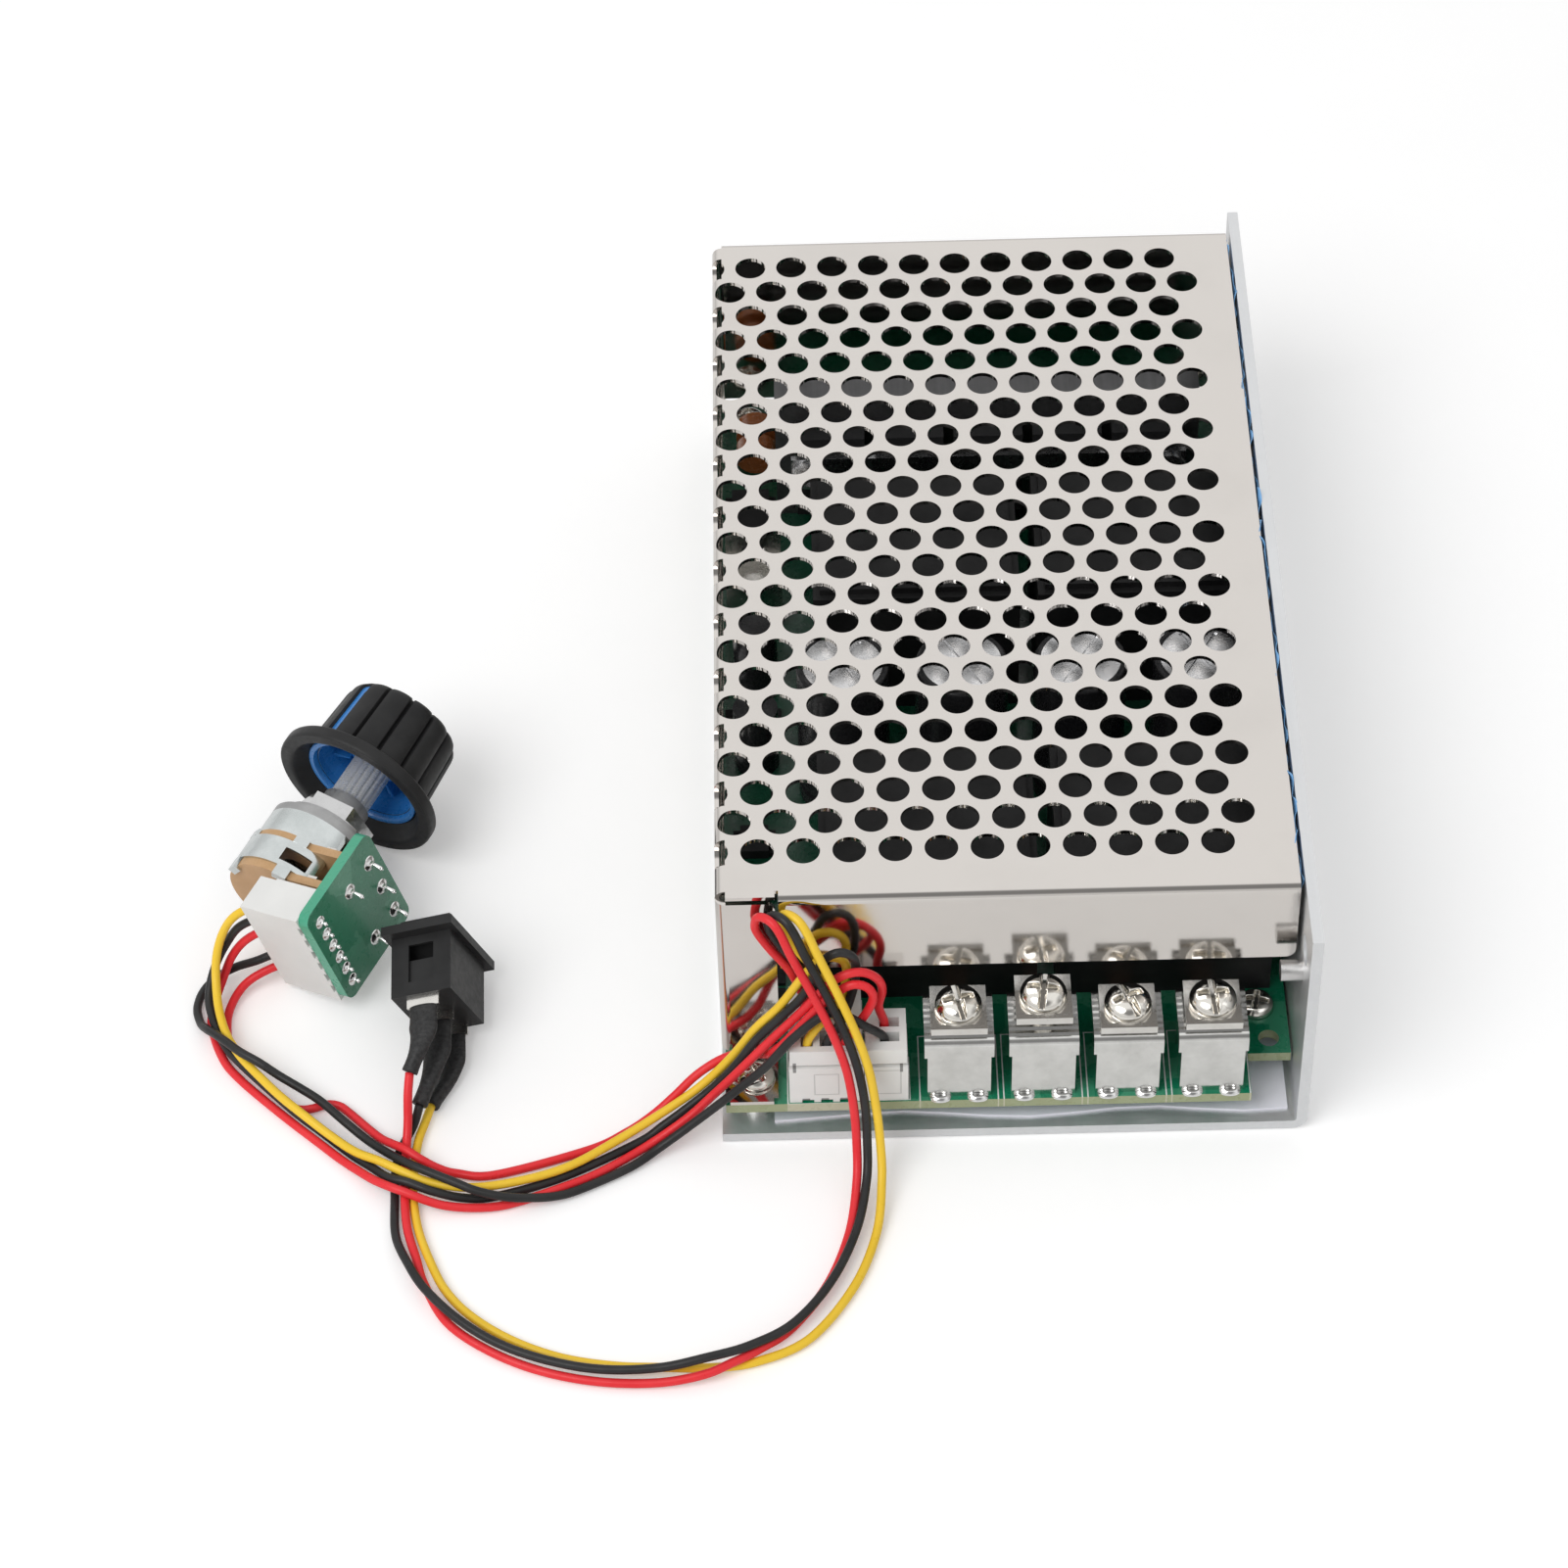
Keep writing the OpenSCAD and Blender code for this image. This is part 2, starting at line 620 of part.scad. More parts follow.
// Ridged bar that cools the power transistors: its back face has level ridges.
sink_mid_share = 0.51852;
sink_x = pcb_x0 + sink_mid_share * room_w;
sink_ridge = 2;
sink_ridge_h = 1.2;
sink_core = 6;

module heat_sink() {
  n = floor(sink_h / (2 * sink_ridge));
  color([0.82, 0.82, 0.84]) {
    yz_piece(sink_x - sink_w / 2, sink_w) {
      translate([sink_y, pcb_top]) square([sink_d - sink_ridge_h, sink_h]);
      for (i = [0:n - 1]) translate([sink_y, pcb_top + sink_ridge * (2 * i + 0.5)])
        square([sink_d, sink_ridge]);
    }
  }
}

fet_w = 10;
fet_t = 4.4;
fet_h = 15;
fet_lift = 4;
fet_lead_w = 0.8;
fet_lead_pitch = 2.54;
function fet_x(i) = sink_x + (i - 2) * fet_pitch;

module power_transistors() {
  color([0.1, 0.1, 0.1]) for (i = [0:4]) {
    stand(fet_x(i), sink_y - fet_t / 2, pcb_top + fet_lift, fet_w, fet_t, fet_h);
    for (s = [-1, 0, 1])
      stand(fet_x(i) + s * fet_lead_pitch, sink_y - fet_t / 2, pcb_top, fet_lead_w,
        fet_lead_w, fet_lift);
  }
}

clamp_bar_h = 5;
clamp_bar_t = 1.5;

module transistor_clamp() {
  z = pcb_top + fet_lift + fet_h / 2;
  color([0.7, 0.7, 0.72]) {
    stand(sink_x, sink_y - fet_t - clamp_bar_t / 2, z, 5 * fet_pitch, clamp_bar_t,
      clamp_bar_h);
    for (s = [-1, 1])
      translate([sink_x + s * (5 * fet_pitch / 2 - screw_d), sink_y - fet_t - clamp_bar_t,
          z + clamp_bar_h / 2])
        rotate([90, 0, 0]) pan_head(screw_head_d, screw_head_h);
  }
}

cap_top_d = 11;
cap_top_t = 0.5;
cap_foot = 2;
cap_foot_in = 0.5;

module capacitors() {
  color([0.08, 0.08, 0.1]) for (i = [0:3])
    translate([cap_first_x + i * cap_pitch, cap_y, pcb_top]) difference() {
      rotate_extrude() {
        square([cap_d / 2 - cap_foot_in, cap_h]);
        square([cap_d / 2, cap_foot]);
        translate([0, cap_foot + 2 * cap_foot_in])
          square([cap_d / 2, cap_h - cap_foot - 3 * cap_foot_in]);
        translate([cap_d / 2 - cap_foot_in, cap_h - cap_foot_in]) circle(cap_foot_in);
      }
      translate([0, 0, cap_h - cap_top_t]) cylinder(d = cap_top_d, h = cap_top_t + eps);
    }
}

module capacitor_tops() {
  vent_w = cap_top_t;
  color([0.85, 0.85, 0.87]) for (i = [0:3])
    translate([cap_first_x + i * cap_pitch, cap_y, pcb_top + cap_h - cap_top_t])
      difference() {
        cylinder(d = cap_top_d, h = cap_top_t);
        for (q = [0, 60, 120]) rotate(q)
          translate([-cap_top_d / 2 + cap_top_t, -vent_w / 2, cap_top_t / 2])
            cube([cap_top_d - 2 * cap_top_t, vent_w, cap_top_t]);
      }
}

relay_mid_share = 0.57407;
relay_x = pcb_x0 + relay_mid_share * room_w;
relay_edge = 1;

module relays() {
  color([0.1, 0.1, 0.1]) for (s = [-1, 1], y = [relay_front_y, relay_rear_y])
    translate([relay_x + s * relay_pitch / 2, y, 0]) {
      stand(0, 0, pcb_top, relay_w, relay_d, relay_h - relay_edge);
      stand(0, 0, pcb_top + relay_h - relay_edge, relay_w - 2 * relay_edge,
        relay_d - 2 * relay_edge, relay_edge);
    }
}

// Small parts in the column left of the relays.
part_in = 4.2;
part_x = pcb_x0 + part_in;
chip_w = 7.5;
chip_l = 12.8;
chip_h = 2.3;
chip_y = 38.5;
small_chip = [3.9, 4.9, 1.6];
small_chip_y = [-32, -24];
pin_pitch = 1.27;
pin_w = 0.45;
pin_l = 1;

module chip(x, y, w, l, h, n) {
  stand(x, y, pcb_top, w, l, h);
  for (s = [-1, 1], i = [0:n - 1])
    stand(x + s * (w + pin_l) / 2, y + (i - (n - 1) / 2) * pin_pitch, pcb_top, pin_l,
      pin_w, h / 2);
}

module chips() {
  color([0.12, 0.12, 0.12]) {
    chip(part_x, chip_y, chip_w - 2 * pin_l, chip_l, chip_h, 10);
    for (y = small_chip_y)
      chip(part_x, y, small_chip[0], small_chip[1], small_chip[2], 4);
  }
}

small_cap_d = 6.3;
small_cap_h = 11;
small_cap_y = [-8, 8];

module small_capacitors() {
  color([0.1, 0.1, 0.14]) for (y = small_cap_y)
    translate([part_x + pin_l / 2, y, pcb_top]) cylinder(d = small_cap_d, h = small_cap_h);
}

resistor = [1.6, 3.2, 0.6];
resistor_y = [-52, -48, -44, -40, -16, 0, 29];

module signal_parts() {
  color([0.15, 0.15, 0.15]) for (y = resistor_y, s = [-1, 1])
    stand(part_x + s * resistor[1], y, pcb_top, resistor[0], resistor[1], resistor[2]);
}

reg_w = 10;
reg_d = 4.5;
reg_h = 9;
reg_tab_h = 15.5;
reg_tab_t = 1.3;
reg_y = 21;

module regulator() {
  color([0.75, 0.75, 0.76]) difference() {
    union() {
      stand(part_x + pin_l / 2, reg_y, pcb_top, reg_w - 2 * pin_l, reg_d, reg_h);
      stand(part_x + pin_l / 2, reg_y + (reg_d - reg_tab_t) / 2, pcb_top,
        reg_w - 2 * pin_l, reg_tab_t, reg_tab_h);
    }
    translate([part_x + pin_l / 2, reg_y + reg_d / 2 + eps, pcb_top + reg_tab_h - reg_w / 3])
      rotate([90, 0, 0]) cylinder(d = reg_w / 3, h = reg_tab_t + 2 * eps);
  }
}

disc_d = 6;
disc_t = 2.5;
disc_y = [52, 56.5];

module disc_capacitors() {
  color([0.9, 0.45, 0.1]) for (y = disc_y)
    translate([part_x + pin_l, y + disc_t / 2, pcb_top + disc_d / 2]) rotate([90, 0, 0])
      cylinder(d = disc_d, h = disc_t);
}

// Tinned copper strips that carry the current back from the terminals.
link_w = 3;
link_h = 1.2;
link_gap = 0.3;

module current_links() {
  y0 = term_y + term_back + link_gap;
  y1 = relay_front_y - relay_d / 2 - link_gap;
  color([0.8, 0.55, 0.35]) for (i = [0:3])
    span([term_x(i) - link_w / 2, y0, pcb_top], [term_x(i) + link_w / 2, y1, pcb_top + link_h]);
}

// One screw terminal, with its screw's axis at zero and the board at zero.
module terminal() {
  w = term_w / 2;
  r = term_t;
  difference() {
    yz_piece(-w, term_w) difference() {
      union() {
        translate([-term_front, 0]) square([term_front + term_back, term_h - r]);
        translate([-term_front + r, 0]) square([term_front + term_back - 2 * r, term_h]);
        translate([-term_front + r, term_h - r]) circle(r);
        translate([term_back - r, term_h - r]) circle(r);
      }
      translate([-term_front + term_t, -eps])
        square([term_front + term_back - 2 * term_t, term_h - term_t + eps]);
      for (i = [-3:3]) translate([i * ridge_pitch - ridge_pitch / 2, term_h - ridge_h])
        rotate(45) square(ridge_h * 2);
    }
    translate([0, 0, term_h - term_t - eps])
      cylinder(d = term_screw_d + 2 * shaft_play, h = term_t + 2 * eps);
    for (s = [-1, 1])
      span([s > 0 ? w - term_step_w : -w - eps, -term_front - eps, -eps],
        [s > 0 ? w + eps : -w + term_step_w, term_back + eps, term_h - term_step_z]);
  }
  for (s = [-1, 1])
    span([s * leg_pitch / 2 - leg_w / 2, -term_front, -pcb_t - leg_out],
      [s * leg_pitch / 2 + leg_w / 2, -term_front + term_t, 0]);
}

module terminal_at(i) {
  translate([term_x(i), term_y, pcb_top]) children();
}

module clamp_washer(i) {
  w = washer_w / 2;
  color([0.78, 0.78, 0.78]) terminal_at(i)
    translate([0, 0, term_h + clamp_open[i]]) difference() {
      union() {
        stand(0, 0, 0, washer_w, washer_w, washer_t);
        span([-w, -w - washer_t / 2, 0], [w, -w + washer_t / 2, washer_t * 1.5]);
      }
      translate([0, 0, -eps])
        cylinder(d = term_screw_d + 2 * clear, h = washer_t + 2 * eps);
    }
}

screw_turns = [12, -8, 25, 5];

module terminal_screw(i) {
  slot_w = term_head_d / 7;
  z = term_h + clamp_open[i] + washer_t;
  color([0.8, 0.8, 0.82]) terminal_at(i) translate([0, 0, z + clear / 2])
    rotate(screw_turns[i]) {
      difference() {
        pan_head(term_head_d, term_head_h);
        stand(0, 0, term_head_h - slot_w, slot_w, term_head_d + 2 * eps, term_head_h);
      }
      translate([0, 0, -term_screw_l]) cylinder(d = term_screw_d, h = term_screw_l);
    }
}

module terminal_solder() {
  r = leg_w / 2 + 2 * clear;
  color([0.82, 0.82, 0.84]) for (i = [0:3], s = [-1, 1])
    translate([term_x(i) + s * leg_pitch / 2, term_y - term_front, pcb_top])
      intersection() {
        cylinder(r1 = r, r2 = r / 2, h = r / 2);
        stand(0, -r / 4, 0, 2 * r, r / 2, r);
      }
}

// Vertical socket with n ways in a row along X, open to the front.
conn_wall = 0.8;
conn_floor = 1.6;
window_w = 1.6;
window_h = 0.5;
pit_in = 1.1;
pit_d = 2.6;
pit_h = 2;
head_in = 0.15;
// The plugs on the main board aren't pushed fully home.
plug_proud = 0.6;

module socket(n) {
  l = conn_l(n);
  difference() {
    stand(0, 0, 0, l, socket_d, socket_h);
    stand(0, 0, conn_floor, l - 2 * conn_wall, socket_d - 2 * conn_wall, socket_h);
    for (i = [0:n - 1]) stand((i - (n - 1) / 2) * way_pitch, -socket_d / 2, -eps, window_w,
      2 * conn_wall, window_h + eps);
  }
}

// The plug that stands in the socket, with a pit for each lead.
module plug(n) {
  l = conn_l(n);
  in = conn_wall + clear / 2;
  difference() {
    union() {
      stand(0, 0, conn_floor, l - 2 * in, socket_d - 2 * in, socket_h - conn_floor);
      stand(0, 0, socket_h, l - 2 * head_in, socket_d - 2 * head_in, mated_h - socket_h);
    }
    for (i = [0:n - 1]) stand((i - (n - 1) / 2) * way_pitch,
      -socket_d / 2 + pit_in + pit_d / 2, mated_h - pit_h, window_w, pit_d, pit_h + eps);
  }
}

module board_connectors() {
  translate([conn_3_x, conn_3_y, pcb_top]) children(0);
  translate([conn_3_x, conn_rear_y, pcb_top]) children(0);
  translate([conn_2_x, conn_2_y, pcb_top]) rotate(90) children(1);
}

module board_sockets() {
  color([0.93, 0.93, 0.92]) board_connectors() {
    socket(3);
    socket(2);
  }
}

module board_plugs() {
  color([0.95, 0.95, 0.94]) board_connectors() {
    translate([0, 0, plug_proud]) plug(3);
    translate([0, 0, plug_proud]) plug(2);
  }
}

// The speed control is drawn along its own axis: X toward the knob, Y toward
// its board, Z along its row of lugs.
module pot_frame() {
  translate(pot_at) rotate(pot_turn) children();
}

// A disc from a to b along the control's axis.
module disc(a, b, r) {
  translate([a, 0, 0]) rotate([0, 90, 0]) cylinder(r = r, h = b - a);
}

shell_t = 0.4;
front_wafer_a = front_lug_a;
rear_wafer_a = rear_lug_a + shell_t / 2;
wafer_w_share = 1.566;
wafer_w = wafer_w_share * pot_r;
lug_t = 0.4;
lug_w = 1;
lug_eye_w = 2.4;
shell_open = pot_r * 0.8;
lug_out = 0.7;

module pot_case() {
  color([0.78, 0.8, 0.8]) pot_frame() {
    difference() {
      union() {
        disc(-rear_wafer_a, -front_wafer_a - wafer_t, pot_r);
        disc(-front_wafer_a, 0, pot_r - shell_t);
      }
      disc(-rear_wafer_a - eps, -front_wafer_a - wafer_t + eps, pot_r - shell_t);
      disc(-front_wafer_a - eps, -shell_t, pot_r - 2 * shell_t);
      disc(-shell_t - eps, eps, bush_d / 2);
      // Window in the round shell, and the open side toward the board.
      for (q = [-60, 150]) rotate([q, 0, 0])
        span([-rear_wafer_a + 2 * shell_t, pot_r - 3 * shell_t, -pot_r / 4],
          [-front_wafer_a - wafer_t - 3 * shell_t, pot_r + eps, pot_r / 4]);
      span([-rear_wafer_a - eps, shell_open, -pot_r], [eps, pot_r + eps, pot_r]);
    }
    // Tabs that hold the rear wafer, and the strips past the front wafer.
    for (q = [65, 130, 230, 295]) rotate([q, 0, 0]) {
      span([-rear_wafer_a - wafer_t - shell_t, pot_r - shell_t, -pot_r / 8],
        [-rear_wafer_a + shell_t, pot_r, pot_r / 8]);
      span([-rear_wafer_a - wafer_t - shell_t, pot_r - 3 * shell_t, -pot_r / 8],
        [-rear_wafer_a - wafer_t, pot_r - shell_t, pot_r / 8]);
      span([-front_wafer_a - wafer_t, pot_r - shell_t, -pot_r / 8],
        [-front_wafer_a, pot_r, pot_r / 8]);
    }
  }
}

module wafer(a) {
  r = pot_r - shell_t;
  translate([-a - wafer_t, 0, 0]) rotate([0, 90, 0]) linear_extrude(wafer_t) {
    circle(r);
    translate([-wafer_w / 2, 0]) square([wafer_w, ctl_n]);
  }
}

module pot_wafers() {
  color([0.85, 0.65, 0.4]) pot_frame() {
    difference() {
      wafer(front_wafer_a);
      disc(-front_wafer_a - wafer_t - eps, -front_wafer_a + eps, shaft_d / 2 + shaft_play);
    }
    wafer(rear_wafer_a);
  }
}

module pot_lugs() {
  color([0.85, 0.85, 0.85]) pot_frame() {
    for (s = [-1, 0, 1]) pot_lug(front_lug_a, s);
    for (s = [-1, 1]) pot_lug(rear_lug_a, s);
    // Rivet heads on the rear wafer.
    for (s = [-1, 1]) translate([0, pot_r / 2, s * lug_pitch / 2])
      disc(-rear_wafer_a - wafer_t - shell_t, -rear_wafer_a - wafer_t, lug_w);
  }
}

module pot_lug(a, s) {
  n1 = ctl_n + pcb_t + lug_out;
  span([-a, shell_open + clear, s * lug_pitch - lug_eye_w / 2],
    [-a + lug_t, pot_r, s * lug_pitch + lug_eye_w / 2]);
  span([-a, pot_r, s * lug_pitch - lug_w / 2], [-a + lug_t, n1, s * lug_pitch + lug_w / 2]);
}

nose_r = 6.6;
nut_washer_t = 0.5;
nut_washer_r = 5.9;
nut_turn = 50.5;

module pot_bush() {
  color([0.55, 0.55, 0.56]) pot_frame() difference() {
    union() {
      disc(0, nose_h / 2, pot_r - shell_t);
      disc(nose_h / 2, nose_h, nose_r);
      disc(nose_h, bush_l, bush_d / 2);
      disc(-shell_t, 0, bush_d / 2);
    }
    disc(-shell_t - eps, bush_l + eps, shaft_d / 2 + shaft_play);
  }
}

module pot_nut() {
  color([0.85, 0.85, 0.87]) pot_frame() difference() {
    union() {
      disc(nose_h, nose_h + nut_washer_t, nut_washer_r);
      translate([nose_h + nut_washer_t, 0, 0]) rotate([0, 90, 0]) rotate(nut_turn)
        cylinder(r = nut_af / sqrt(3), h = nut_h, $fn = 6);
    }
    disc(nose_h - eps, bush_l + eps, bush_d / 2);
  }
}

module pot_shaft() {
  color([0.75, 0.75, 0.76]) pot_frame() difference() {
    disc(-front_wafer_a - wafer_t, shaft_l, shaft_d / 2);
    translate([bush_l + lug_out + (shaft_l - bush_l) / 2, 0, 0])
      stand(0, 0, -shaft_d, shaft_l - bush_l, lug_w, 2 * shaft_d);
  }
}

// The knob is drawn standing on its skirt and then laid on the shaft's axis.
module knob_frame() {
  pot_frame() translate([knob_a, 0, 0]) rotate([0, 90, 0]) children();
}

skirt_wall = 1.8;
skirt_hollow = 2;
grip_foot = 1.2;
rib_low = 3.6;
crown_h = 1.5;
insert_wall = 0.9;
insert_low = 1.3;
insert_high = 11.5;
hub_r = 4.6;
rib_t = 0.8;

module knob_outline() {
  h = knob_h - crown_h;
  polygon([[0, 0], [skirt_r - clear, 0], [skirt_r, clear], [skirt_r, skirt_h - clear],
    [skirt_r - clear, skirt_h], [grip_r + 3 * clear, skirt_h + 5 * clear],
    [grip_r, skirt_h + 8 * clear], [crown_r, h], [crown_r - crown_h / 4, h + crown_h / 2],
    [crown_r - crown_h / 2, h + crown_h * 0.85], [crown_r - crown_h, knob_h],
    [0, knob_h]]);
}

module pointer_cut() {
  rotate(pointer_turn)
    span([grip_r / 2 + insert_r / 2, -pointer_w / 2, skirt_h + grip_foot],
      [skirt_r, pointer_w / 2, knob_h - crown_h * 0.6]);
}

module knob() {
  color([0.12, 0.12, 0.12]) knob_frame() difference() {
    rotate_extrude() difference() {
      knob_outline();
      polygon([[0, -eps], [skirt_r - skirt_wall, -eps], [skirt_r - skirt_wall, skirt_h / 2],
        [insert_r + insert_wall, skirt_hollow], [insert_r, skirt_hollow],
        [insert_r, insert_high], [0, insert_high]]);
    }
    pointer_cut();
    for (i = [1:groove_n - 1]) rotate(pointer_turn + i * 360 / groove_n)
      span([(crown_r + insert_r) / 2, -groove_w / 2, skirt_h + grip_foot],
        [skirt_r, groove_w / 2, knob_h + eps]);
  }
}

module knob_insert() {
  color([0.1, 0.4, 0.8]) knob_frame() {
    difference() {
      cylinder(r = insert_r, h = insert_high);
      translate([0, 0, -eps]) cylinder(r = insert_r + eps, h = insert_low + eps);
      translate([0, 0, -eps]) difference() {
        cylinder(r = insert_r - insert_wall, h = insert_high - insert_wall + eps);
        cylinder(r = hub_r, h = insert_high);
        for (q = [0, 90]) rotate(q)
          stand(0, 0, rib_low, 2 * insert_r, rib_t, insert_high);
      }
      translate([0, 0, -eps]) cylinder(r = shaft_d / 2, h = shaft_l - knob_a + eps);
    }
    intersection() {
      rotate_extrude() knob_outline();
      pointer_cut();
    }
  }
}

// Flat board on the control's lugs, corners rounded.
ctl_corner_r = 1.5;
joint_r = 0.85;
joint_h = 0.7;
ctl_ways = 6;
function way_u(i) = -ctl_first + i * way_pitch;

module ctl_pins() {
  for (s = [-1, 0, 1]) translate([-front_lug_a + lug_t / 2, 0, s * lug_pitch]) children();
  for (s = [-1, 1]) translate([-rear_lug_a + lug_t / 2, 0, s * lug_pitch]) children();
}

module pot_board() {
  r = ctl_corner_r;
  color([0.05, 0.45, 0.3]) pot_frame() difference() {
    translate([-ctl_front - ctl_l, ctl_n + pcb_t, -ctl_top]) rotate([90, 0, 0])
      linear_extrude(pcb_t) {
        translate([r, 0]) square([ctl_l - 2 * r, ctl_w]);
        translate([0, r]) square([ctl_l, ctl_w - 2 * r]);
        for (x = [r, ctl_l - r], y = [r, ctl_w - r]) translate([x, y]) circle(r);
      }
    ctl_pins() translate([0, ctl_n - eps, 0]) rotate([-90, 0, 0])
      cylinder(d = lug_w + 2 * clear, h = pcb_t + 2 * eps);
  }
}

module joint() {
  translate([0, ctl_n + pcb_t, 0]) rotate([-90, 0, 0])
    cylinder(r1 = joint_r, r2 = joint_r / 2, h = joint_h);
}

module pot_solder() {
  color([0.85, 0.85, 0.86]) pot_frame() {
    ctl_pins() difference() {
      joint();
      stand(0, ctl_n, -lug_w / 2, lug_t, 2 * ctl_n, lug_w);
    }
    for (i = [0:ctl_ways - 1]) translate([-ctl_row, 0, way_u(i)]) joint();
  }
}

// The six-way connector hangs from the inner side of the small board.
row_off = 0.52;

module ctl_connector() {
  pot_frame() translate([-ctl_row + row_off, ctl_n, (way_u(0) + way_u(ctl_ways - 1)) / 2])
    rotate([90, 90, 0]) children();
}

module pot_socket() {
  color([0.93, 0.93, 0.92]) ctl_connector() socket(ctl_ways);
}

module pot_plug() {
  color([0.95, 0.95, 0.94]) ctl_connector() plug(ctl_ways);
}

// The switch is drawn with X from the rocker to the lugs, Z along the rocker.
module switch_frame() {
  translate(switch_at) rotate(switch_turn) children();
}

rocker_gap = 0.25;
sw_base_in = 0.35;
sw_base_l = 2;
latch_w = 3.6;
latch_d = 0.5;
rock_a = 0.6;
rock_depth = 3.2;
rocker_out = 2.2;

module switch_body() {
  color([0.13, 0.13, 0.13]) switch_frame() difference() {
    union() {
      span([-flange_t, -flange_w / 2, -flange_l / 2], [0, flange_w / 2, flange_l / 2]);
      span([0, -sw_w / 2, -sw_l / 2], [sw_depth, sw_w / 2, sw_l / 2]);
    }
    // Well for the rocker.
    span([-flange_t - eps, -rocker_w / 2 - rocker_gap, -rocker_l / 2 - rocker_gap],
      [rock_depth + rocker_gap, rocker_w / 2 + rocker_gap, rocker_l / 2 + rocker_gap]);
    // Seats of the rocker's pins.
    translate([rock_a, sw_w / 2 - 2 * clear, 0]) rotate([90, 0, 0])
      cylinder(r = rock_pin_r + shaft_play, h = sw_w - 4 * clear);
    // Latch recesses in the two narrow ends.
    for (s = [-1, 1])
      span([flange_t, -latch_w / 2, s > 0 ? sw_l / 2 - latch_d : -sw_l / 2 - eps],
        [sw_depth - sw_base_l, latch_w / 2, s > 0 ? sw_l / 2 + eps : -sw_l / 2 + latch_d]);
  }
}

// Rocker: a shallow V, high at both ends, on a pin across the well.
module switch_rocker() {
  w = rocker_w / 2;
  l = rocker_l / 2;
  color([0.1, 0.1, 0.1]) switch_frame() {
    difference() {
      translate([0, w, 0]) rotate([90, 0, 0]) linear_extrude(rocker_w) polygon([
        [-flange_t - rocker_out, -l * 0.8], [-flange_t - rocker_out / 3, 0],
        [-flange_t - rocker_out, l * 0.8], [-flange_t - rocker_out * 0.75, l * 0.94],
        [rock_a - rock_pin_r, l * 0.94], [rock_depth - rock_pin_r, l * 0.3],
        [rock_depth - rock_pin_r, -l * 0.3], [rock_a - rock_pin_r, -l * 0.94],
        [-flange_t - rocker_out * 0.75, -l * 0.94]]);
    }
    translate([rock_a, sw_w / 2 - 4 * clear, 0]) rotate([90, 0, 0])
      cylinder(r = rock_pin_r, h = sw_w - 8 * clear);
  }
}

module switch_lugs() {
  color([0.8, 0.7, 0.5]) switch_frame() for (i = [-1:1])
    span([sw_depth, -sw_lug_w / 2, i * sw_lug_pitch - lug_t / 2],
      [sw_depth + sw_lug_l, sw_lug_w / 2, i * sw_lug_pitch + lug_t / 2]);
}

// Leads. Each follows a smooth curve through its points, which run from the
// switch or the control's plug to the board's plug.
function unit(v) = v / norm(v);
function ends_on(p) = concat([2 * p[0] - p[1]], p,
  [2 * p[len(p) - 1] - p[len(p) - 2]]);
function curve_at(q, i, t) = (2 * q[i + 1] + (q[i + 2] - q[i]) * t
  + (2 * q[i] - 5 * q[i + 1] + 4 * q[i + 2] - q[i + 3]) * t * t
  + (3 * q[i + 1] - q[i] - 3 * q[i + 2] + q[i + 3]) * t * t * t) / 2;
function route(p, k) = let (q = ends_on(p)) concat(
  [for (i = [0:len(p) - 2], s = [0:k - 1]) curve_at(q, i, s / k)], [p[len(p) - 1]]);
function heading(r) = [for (i = [0:len(r) - 1])
  unit(r[min(i + 1, len(r) - 1)] - r[max(i - 1, 0)])];
function square_to(s, t) = unit(s - (s * t) * t);
function sides(h, s0) = [for (i = 0, s = square_to(s0, h[0]); i < len(h);
  i = i + 1, s = square_to(s, h[min(i, len(h) - 1)])) s];
lead_sides = 8;

// A tube round the points r, its half widths going from a to b, side s0 first.
module tube(r, a, b, s0) {
  n = len(r);
  m = lead_sides;
  h = heading(r);
  s = sides(h, s0);
  points = [for (i = [0:n - 1], j = [0:m - 1])
    let (u = square_to(s[i], h[i]), v = cross(h[i], u), w = a + (b - a) * i / (n - 1))
      r[i] + w[0] * cos(360 * j / m) * u + w[1] * sin(360 * j / m) * v];
  walls = [for (i = [0:n - 2], j = [0:m - 1], half = [0, 1])
    let (j2 = (j + 1) % m) half == 0
      ? [i * m + j, (i + 1) * m + j, (i + 1) * m + j2]
      : [i * m + j, (i + 1) * m + j2, i * m + j2]];
  caps = concat([for (j = [1:m - 2]) [0, j, j + 1]],
    [for (j = [1:m - 2]) [(n - 1) * m, (n - 1) * m + j + 1, (n - 1) * m + j]]);
  polyhedron(points, concat(walls, caps));
}

module lead(p) {
  tube(route(p, 2), [lead_d / 2, lead_d / 2], [lead_d / 2, lead_d / 2], [0.3, 1, 0.2]);
}

// Shrunk sleeves over the lugs: flat at the lug and round at the lead.
sleeve_flat = [1.95, 0.8];
sleeve_round = [1.05, 1.05];
sleeve_side = [-0.95, 0.05, -0.31];
sleeve_1 = [
  [-78.86, -55.65, 11.2], [-78.8, -59, 10.4], [-79.4, -61.5, 9.4], [-80.6, -64.2, 7.8]];

sleeve_2 = [
  [-77.29, -54.6, 6.55], [-77.3, -58.5, 5.6], [-78.1, -62.5, 4.8], [-79.5, -66.4, 3.6]];

sleeve_3 = [
  [-75.72, -53.5, 1.95], [-75.7, -57, 1.4], [-76.3, -60.5, 1.1], [-78.2, -64.6, 1.1]];

